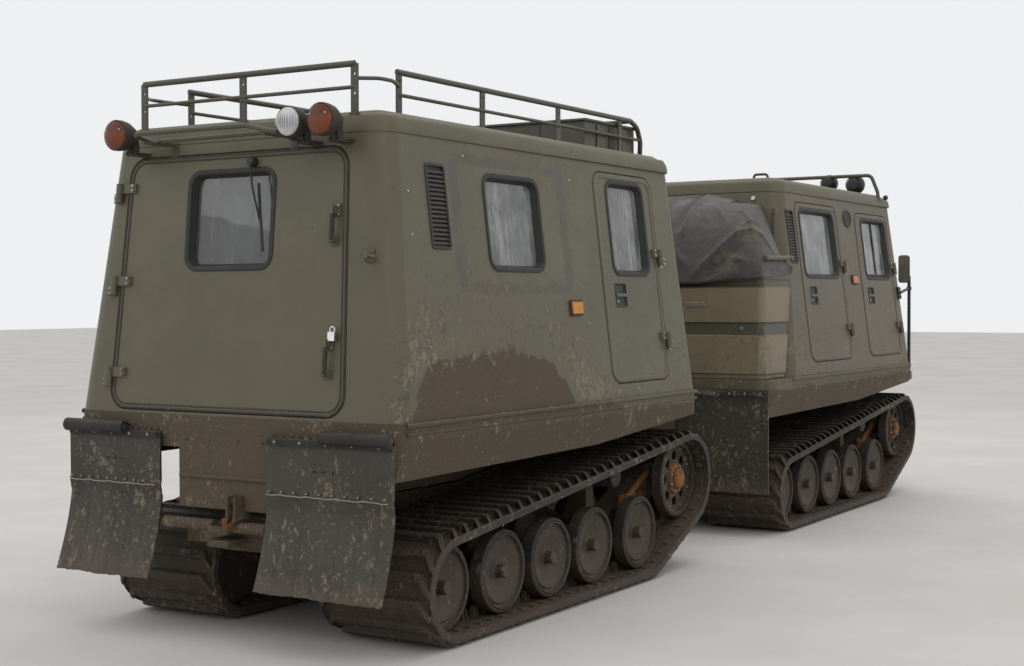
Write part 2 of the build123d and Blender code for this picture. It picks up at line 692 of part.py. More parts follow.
def lamp_set():
    """Lamps carried on brackets from the rear wall, clear of the back door."""
    z = GUTTER_Z + 41
    face = rear_at(REAR_CAB, GUTTER_Z)
    stem = 9.0
    body = []
    for y, radius in ((600.0, 70.0), (-600.0, 70.0), (-440.0, 66.0)):
        lamp = rod((face - 100, y, z), (face - 15, y, z), radius)
        lamp += rod((face - 15, y, z), (face + WALL, y, z), stem)
        body.append(lamp - cab_block(REAR_CAB, -FIT))
    return body


def lamp_guard():
    """Tube loop in front of the lamps, on two brackets on the rear wall."""
    out_x, in_x, tube = -100.0, 5.0, 11.0
    left, right, end = 430.0, -220.0, -372.0
    outer, inner, low = 2268.0, 2240.0, 2226.0
    points = [(in_x, left, inner), (out_x, left, outer), (out_x, right, outer), (out_x, end, low), (in_x, end, low)]
    body = rod((in_x, end, low), (in_x, left, inner), tube)
    for a, b in zip(points, points[1:]):
        body += rod(a, b, tube)
    for point in points:
        body += Pos(*point) * Sphere(tube)
    for y in (385.0, -315.0):
        seat = rear_at(REAR_CAB, GUTTER_Z - 40) - FIT
        body += block((in_x, seat), (y - 16, y + 16), (GUTTER_Z - 40, GUTTER_Z - 8))
    return body


def flap(x, half_width, y, top, low, curl):
    """Hanging rubber flap with a clamp strip, on the right side."""
    thick = 14.0
    knee = low + (top - low) * 0.45
    points = [(x, top), (x, knee), (x - curl, low), (x - curl - thick, low), (x - thick, knee), (x - thick, top)]
    body = side_profile(points, -(y - half_width), 2 * half_width)
    strip = block((x - thick - 10, x - thick), (-(y + half_width) + 15, -(y - half_width) - 15), (knee, knee + 40))
    return body + strip


def rear_flap(inner):
    """Flap behind a track of the rear car, under its rubber roll."""
    outer = TUB_HALF - 10
    body = flap(-14.0, (outer - inner) / 2, (outer + inner) / 2, 905.0, 270.0, 95.0)
    roll = rod((-52.0, -outer + 5, SKIRT_TOP), (-52.0, -inner - 60, SKIRT_TOP), 34)
    bracket = block((-60.0, 0.0), (-outer + 30, -inner - 90), (905.0, 960.0))
    return body + bracket + roll


def front_flaps():
    """Flat flaps behind the front car's tracks."""
    y = (TROUGH_HALF + 36, TUB_HALF - 15)
    return flap(FRONT_DECK - FIT, (y[1] - y[0]) / 2, sum(y) / 2, SKIRT_TOP + 10, 285.0, 0.0)


def tow_coupling():
    """Cross member, jaw with its upright bore, and a cross tube in two runs beside the jaw."""
    x = REAR_BEAM[0]
    jaw = 60.0
    body = block((x - 40, x - FIT), (-300, 300), (430, 530))
    body += block((x - 170, x - 30), (-jaw, jaw), (440, 470))
    body += block((x - 170, x - 30), (-jaw, jaw), (500, 530))
    body -= Pos(x - 130, 0, 485) * Cylinder(20, 200)
    tube_x, tube_z, left, right, run_end = -10.0, 528.0, 345.0, -250.0, jaw - 8
    body += rod((tube_x, right, tube_z), (tube_x, -run_end, tube_z), 26)
    body += rod((tube_x, run_end, tube_z), (tube_x, left, tube_z), 26)
    for y in (left - 20, right + 20):
        body += block((tube_x, x - FIT), (y - 10, y + 10), (500, 530))
    return body


# Pieces of the front car
def lockers():
    """Closed lockers on the deck behind the front cab, with pressed bands."""
    z = (LEDGE_Z + FIT, 1705.0)
    x = (FRONT_DECK + 8, rear_at(FRONT_CAB, LEDGE_Z) - FIT)
    half = CAB_HALF - 35
    body = []
    for y in ((-half, -8.0), (8.0, half)):
        box = block(x, y, z)
        for low, high in ((1290.0, 1370.0), (1595.0, 1645.0)):
            band = block((x[0] - 1, x[0] + 12), (y[0] - 1, y[1] + 1), (low, high))
            edge = -half if y[0] < 0 else half
            side = sorted((edge - math.copysign(12, edge), edge + math.copysign(1, edge)))
            box = box - band - block((x[0] - 1, x[1] + 1), side, (low, high))
        body.append(box)
    return body


def stowage_cover():
    """Cloth cover over the rack above the lockers."""
    z0, z1 = 1705.0 + FIT, 2238.0
    points = [
        (FRONT_DECK + 40, z0),
        (rear_at(FRONT_CAB, z0) - FIT, z0),
        (rear_at(FRONT_CAB, z1) - FIT, z1),
        (FRONT_DECK + 210, z1),
    ]
    return side_profile(points, 860, 1720)


def nose_fittings(nose):
    """Nose wall with its headlamps and grille."""
    for side in (-1, 1):
        lamp = screen_plane(FRONT_CAB, side * 560.0, 1180.0)
        nose += lamp * Pos(0, 0, 14) * Cylinder(94, 40)
    grille = screen_plane(FRONT_CAB, 0, 1225.0)
    nose += grille * Pos(0, 0, 5) * Box(740, 370, 18)
    for step in range(6):
        nose -= grille * Pos(0, -140 + 56 * step, 12) * Box(690, 28, 10)
    return nose


def guard_bar():
    """Tube bar in front of the nose, its low bar wide enough to carry the mirrors' stalks."""
    x, half, low_half, high, tube = BAR_FRONT - GUARD_TUBE, 640.0, 890.0, 1560.0, GUARD_TUBE
    body = rod((x, -half, high), (x, half, high), tube)
    body += rod((x, -low_half, GUARD_LOW), (x, low_half, GUARD_LOW), tube)
    for side in (-1, 1):
        body += rod((x, side * half, GUARD_LOW), (x, side * half, high), tube)
        body += Pos(x, side * half, high) * Sphere(tube)
        body += block((FRONT_CAB.front + FIT, x), (side * half - 14, side * half + 14), (960.0, 1000.0))
        foot = front_at(FRONT_CAB, 1450) + FIT
        body += block((foot, x), (side * half - 14, side * half + 14), (1450.0, 1480.0))
    return body


def roof_bar():
    """Tube bar with its lamps at the front of the front car's roof."""
    x, half, foot_half, top, tube = 6600.0, 712.0, 767.0, ROOF_Z + 143, 14.0
    low = GUTTER_Z + 15
    body = rod((x, -half, top), (x, half, top), tube)
    for side in (-1, 1):
        body += Pos(x, side * half, top) * Sphere(tube)
        body += rod((x, side * half, top), (x, side * foot_half, low), tube)
        body += block((x - 45, x + 45), (side * foot_half - 22, side * foot_half + 22), (low - 10, low + 12))
        for y, radius in ((357.0, 68.0), (570.0, 74.0)):
            z = top - radius + 20
            body += rod((x - 30, side * y, z), (x + 85, side * y, z), radius)
    return body - cab_block(FRONT_CAB, -FIT)


def mirrors():
    """Mirror head on a stalk that stands on the guard's low bar, tied to the cab's side."""
    x, z = 6802.0, 1562.0
    wall = -half_at(FRONT_CAB, z)
    stalk_x, stalk_y, foot = BAR_FRONT - GUARD_TUBE, -873.0, GUARD_LOW + GUARD_TUBE + FIT
    piece = wall_plane(FRONT_CAB, x, z) * Pos(0, 0, FIT + 8) * Box(55, 95, 16)
    piece += rod((x, wall - 16, z), (stalk_x, stalk_y, z + 38), 11)
    piece += rod((stalk_x, stalk_y, foot), (stalk_x, stalk_y, 1700.0), 13)
    return piece + block((stalk_x - 50, stalk_x - 5), (-885.0, -795.0), (1645.0, 1865.0))


def seat(x, y, width, back_height):
    """Cushion and backrest on a base, facing forward."""
    base = block((x, x + 420), (y - width / 2, y + width / 2), (DECK_Z + DECK_THICK, 1080.0))
    cushion = block((x, x + 450), (y - width / 2, y + width / 2), (1080.0, 1170.0))
    back = block((x - 100, x), (y - width / 2, y + width / 2), (1080.0, back_height))
    return base + cushion + back


def export(name, piece):
    """Write one piece, moved so that the origin is below the vehicle's middle."""
    moved = Pos(-MID_X, 0, 0) * piece
    export_step(moved, "parts/" + name + ".step")


def as_compound(pieces):
    """All solids of several pieces as one compound."""
    return Compound([s for piece in pieces for s in piece.solids()])


# Rear car
shell, roof, rear, front, side = cab_panels(REAR_CAB)
wall, door_panel, door_glass = side_door(
    REAR_CAB, side, shell, REAR_SIDE_DOOR, REAR_SIDE_DOOR_WINDOW, SIDE_HINGES)
window_cut = side_cut(REAR_CAB, REAR_WINDOW, WINDOW_CORNER)
wall = wall - window_cut - side_cut(REAR_CAB, VENT, VENT_CORNER)
louvre_cut = side_cut(REAR_CAB, VENT, VENT_CORNER, FIT)
louvre = louvre_cut & (cab_block(REAR_CAB, 6) - cab_block(REAR_CAB, 26))
back_wall, back_door, back_glass = back_panel(shell, rear)
export("rear_tub", tub(0.0, REAR_CAB.front))
export("rear_sides", pair(wall))
export("rear_roof", roof)
export("rear_front_wall", front)
export("rear_back_wall", back_wall)
export("rear_vents", pair(louvre))
export("rear_windows", pair(pane(REAR_CAB, window_cut)))
export("back_door", back_door)
export("back_door_glass", back_glass)
export("rear_door_right", door_panel)
export("rear_door_left", mirrored(door_panel))
export("rear_door_glass_right", door_glass)
export("rear_door_glass_left", mirrored(door_glass))
export("rear_chassis", rear_chassis())
export("rear_lamps", as_compound([*lamp_set(), lamp_guard()]))
export("roof_rack", roof_rack())
export("roof_tray", roof_tray())
export("rear_flaps", as_compound([rear_flap(262.0), mirrored(rear_flap(362.0))]))
export("tow_coupling", tow_coupling())
BENCH_DEPTH = 450.0
bench_side = TUB_HALF - WALL - 35
BENCH = block((260.0, 1860.0), (-bench_side, BENCH_DEPTH - bench_side), (DECK_Z + DECK_THICK + FIT, LEDGE_Z + 10))
export("rear_benches", pair(BENCH))

# Front car
shell, roof, rear, front, side = cab_panels(FRONT_CAB)
wall, aft_door, aft_glass = side_door(FRONT_CAB, side, shell, AFT_DOOR, AFT_DOOR_WINDOW, SIDE_HINGES)
wall, fore_door, fore_glass = side_door(FRONT_CAB, wall, shell, FORE_DOOR, FORE_DOOR_WINDOW, SIDE_HINGES)
wall = wall - side_cut(FRONT_CAB, VENT_FRONT, VENT_CORNER)
louvre = side_cut(FRONT_CAB, VENT_FRONT, VENT_CORNER, FIT) & (cab_block(FRONT_CAB, 6) - cab_block(FRONT_CAB, 26))
y0, y1, z0, z1 = SCREEN
screen_cut = end_cut(screen_plane(FRONT_CAB, -(y0 + y1) / 2, (z0 + z1) / 2), y1 - y0, z1 - z0, WINDOW_CORNER)
export("front_tub", tub(FRONT_DECK, FRONT_CAB.front))
export("front_sides", pair(wall))
export("front_roof", roof)
export("front_back_wall", rear)
export("front_nose", nose_fittings(front - screen_cut - mirrored(screen_cut)))
export("windscreen", pair(pane(FRONT_CAB, screen_cut)))
export("front_vents", pair(louvre))
for name, panel, glass in (("aft_door", aft_door, aft_glass), ("fore_door", fore_door, fore_glass)):
    export(name + "_right", panel)
    export(name + "_left", mirrored(panel))
    export(name + "_glass_right", glass)
    export(name + "_glass_left", mirrored(glass))
export("front_chassis", front_chassis())
export("lockers", as_compound(lockers()))
export("stowage_cover", stowage_cover())
export("front_flaps", pair(front_flaps()))
export("guard_bar", as_compound([guard_bar(), roof_bar()]))
export("mirrors", pair(mirrors()))
export("engine", block((5750.0, 6550.0), (-215.0, 215.0), (TROUGH_Z + WALL + FIT, LEDGE_Z)))
export("engine_cover", block((5700.0, 6600.0), (-225.0, 225.0), (TROUGH_Z + WALL + FIT, 1180.0))
       - block((5720.0, 6580.0), (-216.0, 216.0), (TROUGH_Z, 1160.0)))
export("front_seats", pair(seat(5560.0, -500.0, 460.0, 1750.0)))
export("rear_seats", pair(seat(4650.0, -490.0, 480.0, 1700.0)))
DASH_TOP = 1420.0
dash_front = front_at(FRONT_CAB, DASH_TOP) - WALL - FIT
export("dashboard", block((6640.0, dash_front), (-760.0, 760.0), (1150.0, DASH_TOP)))

# Link
export("steer_link", steer_link())
export("pitch_link", pitch_link())
barrel = steering_barrel()
piston = steering_rod()
export("cylinder_right", barrel)
export("cylinder_left", mirrored(barrel))
export("cylinder_rod_right", piston)
export("cylinder_rod_left", mirrored(piston))

# Running gear of both cars
belt = track_solid()
wheels = wheel_set()
beam = track_frame()
for car, step in (("rear", 0.0), ("front", GEAR_STEP)):
    export(car + "_track_right", Pos(step, 0, 0) * belt)
    export(car + "_track_left", Pos(step, 0, 0) * mirrored(belt))
    export(car + "_wheels", Pos(step, 0, 0) * pair(wheels))
    export(car + "_track_frames", Pos(step, 0, 0) * pair(beam))
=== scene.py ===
"""Looks of an articulated tracked carrier, laid out as an add-on.

Metres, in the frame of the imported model: +X forward, +Y left, +Z up. Stations are counted
along X from the rear car's rear face. Every piece is gathered as points and faces in a Form,
made into one mesh, given its finishes and set to ride on a body of the frame.
"""

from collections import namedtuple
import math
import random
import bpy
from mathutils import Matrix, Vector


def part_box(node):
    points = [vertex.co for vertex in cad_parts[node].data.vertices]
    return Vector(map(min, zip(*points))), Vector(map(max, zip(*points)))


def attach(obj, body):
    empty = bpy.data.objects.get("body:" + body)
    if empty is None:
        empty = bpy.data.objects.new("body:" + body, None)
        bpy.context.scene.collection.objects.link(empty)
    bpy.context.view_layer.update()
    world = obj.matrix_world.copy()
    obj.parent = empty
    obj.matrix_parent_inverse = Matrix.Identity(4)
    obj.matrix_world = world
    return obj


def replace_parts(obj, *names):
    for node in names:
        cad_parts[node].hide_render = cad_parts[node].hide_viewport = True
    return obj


bl_info = {
    "name": "Tracked carrier",
    "version": (1, 0, 0),
    "blender": (4, 5, 0),
    "location": "3D View > Sidebar > Carrier",
    "description": "Builds the pieces and finishes of an articulated tracked carrier",
    "category": "Object",
}

import bpy
import bmesh
from mathutils import Matrix, Vector, noise
from mathutils.geometry import tessellate_polygon

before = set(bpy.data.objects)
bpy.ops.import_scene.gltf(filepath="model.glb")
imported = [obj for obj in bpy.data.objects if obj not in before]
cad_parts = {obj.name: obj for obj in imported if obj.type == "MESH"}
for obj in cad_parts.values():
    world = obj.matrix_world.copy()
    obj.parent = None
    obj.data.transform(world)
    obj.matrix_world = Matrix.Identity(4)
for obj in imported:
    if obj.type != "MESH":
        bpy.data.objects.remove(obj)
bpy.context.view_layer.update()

# Places read from the frame
REAR_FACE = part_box("rear_tub")[0].x
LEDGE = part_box("rear_tub")[1].z
NOSE_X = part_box("front_tub")[1].x


def st(station):
    """Place along X of a station."""
    return REAR_FACE + station


# Plan of a cab at the ledge, and how much its faces lean in per metre of height
Cab = namedtuple("Cab", "rear front half lean_rear lean_front lean_side")
REAR_CAB = Cab(REAR_FACE, st(2.945), 0.935, 0.095, 0.055, 0.118)
FRONT_CAB = Cab(st(4.350), NOSE_X, 0.935, 0.150, 0.048, 0.128)
GUTTER = 2.245
ROOF = 2.335
CAB_CORNER = 0.115
GLASS_DEPTH = 0.030        # outer face of the glass behind the wall's outer face
DOOR_GAP = 0.006

# Windows and doors of the right side, mirrored for the left: stations, then heights
Pane = namedtuple("Pane", "name cab body box")
SIDE_PANES = (
    Pane("rear_window", REAR_CAB, "rear_car", (0.850, 1.335, 1.662, 2.095)),
    Pane("rear_door_window", REAR_CAB, "rear_door", (2.050, 2.460, 1.655, 2.140)),
    Pane("aft_door_window", FRONT_CAB, "aft_door", (4.845, 5.500, 1.672, 2.130)),
    Pane("fore_door_window", FRONT_CAB, "fore_door", (6.100, 6.650, 1.672, 2.115)),
)
Door = namedtuple("Door", "name cab body frame_body box")
SIDE_DOORS = (
    Door("rear_door", REAR_CAB, "rear_door", "rear_car", (1.905, 2.580, 1.082, 2.190)),
    Door("aft_door", FRONT_CAB, "aft_door", "front_car", (4.760, 5.600, 1.090, 2.180)),
    Door("fore_door", FRONT_CAB, "fore_door", "front_car", (5.960, 6.730, 1.090, 2.160)),
)
DOOR_CORNER = 0.085
WINDOW_CORNER = 0.060
HANDLE_IN = 0.195          # handle's middle ahead of the door's rear edge
HANDLE_Z = 1.543
BACK_DOOR_Z = (1.022, 2.184)
BACK_DOOR_HALF = (0.690, 0.640)   # at its foot and head
BACK_DOOR_SHIFT = 0.022
BACK_CORNER = 0.100
BACK_WINDOW = (-0.213, 0.280, 1.665, 2.098)
SCREEN = (0.032, 0.720, 1.640, 2.165)
REAR_VENT = (0.395, 0.530, 1.750, 2.110)
FRONT_VENT = (4.612, 4.722, 1.766, 2.110)
FRONT_DECK = 3.990

# Running gear of the rear car, right side
TRACK_OUTER = 0.925
TRACK_WIDTH = 0.620
BELT_THICK = 0.030
LUG_HEIGHT = 0.030
LUG_PITCH = 0.092
WHEEL_RADIUS = 0.195
GEAR_STEP = 3.950
AXLE_Z = LUG_HEIGHT + BELT_THICK + WHEEL_RADIUS
IDLER_X = 0.488
ROAD_X = (0.974, 1.422, 1.863, 2.374)
SPROCKET = (2.862, 0.500, 0.220)
ROLLER = (2.118, 0.055)
DISC_OUTER = 0.842
DISC_WIDTH = 0.072
INNER_DISC = 0.392
BEAM_Y = (0.560, 0.670)    # track frame between the two rows of discs
STUB_RADIUS = 0.038

SIDES = (("right", -1), ("left", 1))


# Sizes, colours and wear that a user would change
class CarrierSizes(bpy.types.PropertyGroup):
    seal_width: bpy.props.FloatProperty(
        name="Window seal", description="Width of the rubber seals round the windows",
        default=0.036, min=0.01, max=0.08, unit="LENGTH")
    door_bead: bpy.props.FloatProperty(
        name="Door bead", description="Width of the bead round each door",
        default=0.026, min=0.01, max=0.05, unit="LENGTH")
    slat_pitch: bpy.props.FloatProperty(
        name="Slat pitch", description="Height of one slat of the louvres",
        default=0.0195, min=0.01, max=0.05, unit="LENGTH")
    rail_radius: bpy.props.FloatProperty(
        name="Rack rail", description="Radius of the roof rack's top rail",
        default=0.014, min=0.005, max=0.03, unit="LENGTH")
    cover_crease: bpy.props.FloatProperty(
        name="Cover creases", description="Depth of the creases in the stowage cover",
        default=0.022, min=0.0, max=0.06, unit="LENGTH")


class CarrierColours(bpy.types.PropertyGroup):
    paint: bpy.props.FloatVectorProperty(
        name="Cab paint", description="Olive paint of the rear car and the doors",
        subtype="COLOR", size=3, min=0, max=1, default=(0.101, 0.094, 0.056))
    paint_front: bpy.props.FloatVectorProperty(
        name="Front car paint", description="Slightly greener olive of the front car",
        subtype="COLOR", size=3, min=0, max=1, default=(0.100, 0.084, 0.051))
    mud: bpy.props.FloatVectorProperty(
        name="Mud", description="Dried mud on the lower sides and the running gear",
        subtype="COLOR", size=3, min=0, max=1, default=(0.078, 0.056, 0.036))
    dust: bpy.props.FloatVectorProperty(
        name="Dust", description="Pale dust and splashes",
        subtype="COLOR", size=3, min=0, max=1, default=(0.240, 0.200, 0.140))
    rubber: bpy.props.FloatVectorProperty(
        name="Rubber", description="Tracks, flaps and seals",
        subtype="COLOR", size=3, min=0, max=1, default=(0.025, 0.021, 0.018))
    cloth: bpy.props.FloatVectorProperty(
        name="Cover cloth", description="Faded black cloth of the stowage cover",
        subtype="COLOR", size=3, min=0, max=1, default=(0.040, 0.038, 0.037))


class CarrierWear(bpy.types.PropertyGroup):
    mud_amount: bpy.props.FloatProperty(
        name="Mud", description="How much mud lies on the lower sides",
        default=1.0, min=0.0, max=2.0, subtype="FACTOR")
    edge_amount: bpy.props.FloatProperty(
        name="Edge wear", description="How far paint is rubbed off the edges",
        default=0.55, min=0.0, max=1.0, subtype="FACTOR")
    streak_amount: bpy.props.FloatProperty(
        name="Rain streaks", description="Strength of the runs below the windows and roof",
        default=0.5, min=0.0, max=1.0, subtype="FACTOR")


PROPERTY_GROUPS = (
    ("carrier_sizes", CarrierSizes),
    ("carrier_colours", CarrierColours),
    ("carrier_wear", CarrierWear),
)


# Paths and outlines
def rounded(points, radius, closed=False, steps=6):
    """The path with each corner turned into an arc of the radius, as far as its runs allow."""
    count = len(points)
    path = []
    for i, corner in enumerate(points):
        if not closed and i in (0, count - 1):
            path.append(corner.copy())
            continue
        before = points[i - 1]
        after = points[(i + 1) % count]
        into = (corner - before).normalized()
        out = (after - corner).normalized()
        turn = into.angle(out)
        if turn < 0.01:
            path.append(corner.copy())
            continue
        reach = radius * math.tan(turn / 2)
        reach = min(reach, (corner - before).length * 0.49, (after - corner).length * 0.49)
        start = corner - into * reach
        end = corner + out * reach
        weight = math.cos(turn / 2)
        for k in range(steps + 1):
            s = k / steps
            a, b, c = (1 - s) ** 2, 2 * s * (1 - s) * weight, s ** 2
            path.append((start * a + corner * b + end * c) / (a + b + c))
    return path


class Face:
    """A leaning outer face of a cab: places on it, and distances off it."""

    def __init__(self, point, normal, runs_left):
        self.point = point
        self.normal = normal.normalized()
        self.runs_left = runs_left

    def at(self, along, z, out=0.0):
        return self.point(along, z) + self.normal * out

    def loop(self, box, radius, grow=0.0, steps=6):
        """Rounded outline of a box on the face, anticlockwise as seen from outside."""
        a0, a1, z0, z1 = box
        corners = [
            self.at(a0 - grow, z0 - grow), self.at(a1 + grow, z0 - grow),
            self.at(a1 + grow, z1 + grow), self.at(a0 - grow, z1 + grow),
        ]
        if self.runs_left:
            corners.reverse()
        return rounded(corners, radius + grow, closed=True, steps=steps)

    def axes(self, along, z):
        """Matrix whose x runs along the face, y up it and z out of it."""
        x = self.point(along + 1, z) - self.point(along, z)
        y = (self.point(along, z + 1) - self.point(along, z)).normalized()
        made = Matrix((x, y, self.normal)).transposed().to_4x4()
        made.translation = self.point(along, z)
        return made


def side_face(cab, side):
    """Side wall of a cab; places are along X and Z."""
    def point(x, z):
        return Vector((x, side * (cab.half - cab.lean_side * (z - LEDGE)), z))
    return Face(point, Vector((0, side, cab.lean_side)), side > 0)


def back_face(cab):
    """Rear wall of a cab; places are along Y and Z."""
    def point(y, z):
        return Vector((cab.rear + cab.lean_rear * (z - LEDGE), y, z))
    return Face(point, Vector((-1, 0, cab.lean_rear)), True)


def nose_face(cab):
    """Front wall of a cab; places are along Y and Z."""
    def point(y, z):
        return Vector((cab.front - cab.lean_front * (z - LEDGE), y, z))
    return Face(point, Vector((1, 0, cab.lean_front)), False)


def stations(box):
    """A box of stations and heights with its stations turned into places."""
    return (st(box[0]), st(box[1]), box[2], box[3])


# Forms
class Form:
    """Points and faces of one piece, gathered before its mesh is made."""

    def __init__(self):
        self.points = []
        self.faces = []
        self.slots = []

    def add(self, points, faces, slot=0):
        first = len(self.points)
        self.points += [Vector(p) for p in points]
        for face in faces:
            self.faces.append([first + i for i in face])
            self.slots.append(slot)

    def skin(self, rings, slot=0, closed=False, caps=True):
        """Join rings of as many points each; each ring is a closed section."""
        count = len(rings[0])
        faces = []
        for i in range(len(rings) if closed else len(rings) - 1):
            low = i * count
            high = ((i + 1) % len(rings)) * count
            for j in range(count):
                k = (j + 1) % count
                faces.append((low + j, low + k, high + k, high + j))
        if caps and not closed:
            faces.append(tuple(range(count)))
            faces.append(tuple(range((len(rings) - 1) * count, len(rings) * count)))
        self.add([p for ring in rings for p in ring], faces, slot)

    def bead(self, path, up, section, slot=0, closed=True):
        """Run a section of (sideways, up) pairs along a path that lies flat on a face."""
        rings = []
        count = len(path)
        for i, point in enumerate(path):
            before = path[i - 1] if closed or i > 0 else point
            after = path[(i + 1) % count] if closed or i < count - 1 else point
            along = (after - before).normalized()
            side = along.cross(up).normalized()
            into = (point - before).normalized() if point != before else along
            miter = 1 / max(0.5, side.dot(into.cross(up).normalized()))
            rings.append([point + side * a * miter + up * b for a, b in section])
        self.skin(rings, slot, closed)

    def tube(self, path, radius, sides=10, slot=0, closed=False, flat=1.0):
        """Round or flattened tube along a path."""
        rings = []
        count = len(path)
        up = None
        for i, point in enumerate(path):
            before = path[i - 1] if closed or i > 0 else point
            after = path[(i + 1) % count] if closed or i < count - 1 else point
            along = (after - before).normalized()
            if up is None:
                guess = Vector((0, 0, 1)) if abs(along.z) < 0.9 else Vector((0, 1, 0))
                up = guess
            up = (up - along * up.dot(along)).normalized()
            side = along.cross(up)
            ring = []
            for k in range(sides):
                turn = 2 * math.pi * k / sides
                ring.append(point + (side * math.cos(turn) * flat + up * math.sin(turn)) * radius)
            rings.append(ring)
        self.skin(rings, slot, closed)

    def lathe(self, profile, centre, axis, sides=24, slot=0, turn0=0.0):
        """Revolve (radius, height) pairs about an axis."""
        axis = Vector(axis).normalized()
        guess = Vector((0, 0, 1)) if abs(axis.z) < 0.9 else Vector((1, 0, 0))
        u = (guess - axis * guess.dot(axis)).normalized()
        v = axis.cross(u)
        centre = Vector(centre)
        rings = []
        for k in range(sides):
            turn = turn0 + 2 * math.pi * k / sides
            spoke = u * math.cos(turn) + v * math.sin(turn)
            rings.append([centre + spoke * r + axis * h for r, h in profile])
        self.skin_open(rings, slot)

    def skin_open(self, rings, slot=0):
        """Join rings round an axis, where each ring is an open profile."""
        count = len(rings[0])
        faces = []
        for i in range(len(rings)):
            low = i * count
            high = ((i + 1) % len(rings)) * count
            for j in range(count - 1):
                faces.append((low + j, low + j + 1, high + j + 1, high + j))
        self.add([p for ring in rings for p in ring], faces, slot)

    def prism(self, outline, place, low, high, slot=0):
        """Outline of (a, b) pairs, from low to high along the third direction of place."""
        rings = [[place(a, b, w) for a, b in outline] for w in (low, high)]
        self.skin(rings, slot)

    def block(self, low, high, slot=0, place=None):
        """Box between two corners, in the row frame or through a place function or matrix."""
        x0, y0, z0 = low
        x1, y1, z1 = high
        if place is None:
            def put(a, b, w):
                return Vector((a, b, w))
        elif isinstance(place, Matrix):
            def put(a, b, w):
                return place @ Vector((a, b, w))
        else:
            put = place
        self.prism([(x0, y0), (x1, y0), (x1, y1), (x0, y1)], put, z0, z1, slot)

    def stud(self, centre, axis, radius, height, sides=6, slot=0):
        """Bolt head or rivet with a slight crown."""
        profile = [(0, height), (radius * 0.72, height), (radius, height * 0.62), (radius, -0.001),
                   (0, -0.001)]
        self.lathe(profile, centre, axis, sides, slot)

    def make(self, name, finishes, body, bevel=0.0, sharp=34.0, slot=None, segments=2):
        """The piece as one object that rides on a body."""
        mesh = bpy.data.meshes.new(name)
        mesh.from_pydata([tuple(p) for p in self.points], [], self.faces)
        mesh.polygons.foreach_set("material_index", self.slots)
        work = bmesh.new()
        work.from_mesh(mesh)
        bmesh.ops.remove_doubles(work, verts=work.verts, dist=1e-6)
        bmesh.ops.dissolve_degenerate(work, dist=1e-6, edges=work.edges)
        bmesh.ops.recalc_face_normals(work, faces=work.faces)
        work.to_mesh(mesh)
        work.free()
        mesh.polygons.foreach_set("use_smooth", [True] * len(mesh.polygons))
        mesh.set_sharp_from_angle(angle=math.radians(sharp))
        piece = bpy.data.objects.new(name, mesh)
        bpy.context.scene.collection.objects.link(piece)
        for finish in finishes:
            mesh.materials.append(finish_of(finish))
        if bevel > 0:
            cut = piece.modifiers.new("Rounded edges", "BEVEL")
            cut.width = bevel
            cut.segments = segments
            cut.limit_method = "ANGLE"
            cut.angle_limit = math.radians(sharp)
            cut.harden_normals = True
        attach(piece, body)
        return piece


def dome_profile(radius, start, rise, steps):
    """Profile of a domed lens, from its middle out."""
    turns = [math.pi / 2 * k / steps for k in range(steps + 1)]
    return [(radius * math.sin(t), start + rise * math.cos(t)) for t in turns]


def arc(centre, u, v, radius, start, end, steps):
    """Points of an arc in the plane of u and v."""
    return [centre + (u * math.cos(start + (end - start) * k / steps)
                      + v * math.sin(start + (end - start) * k / steps)) * radius for k in range(steps + 1)]


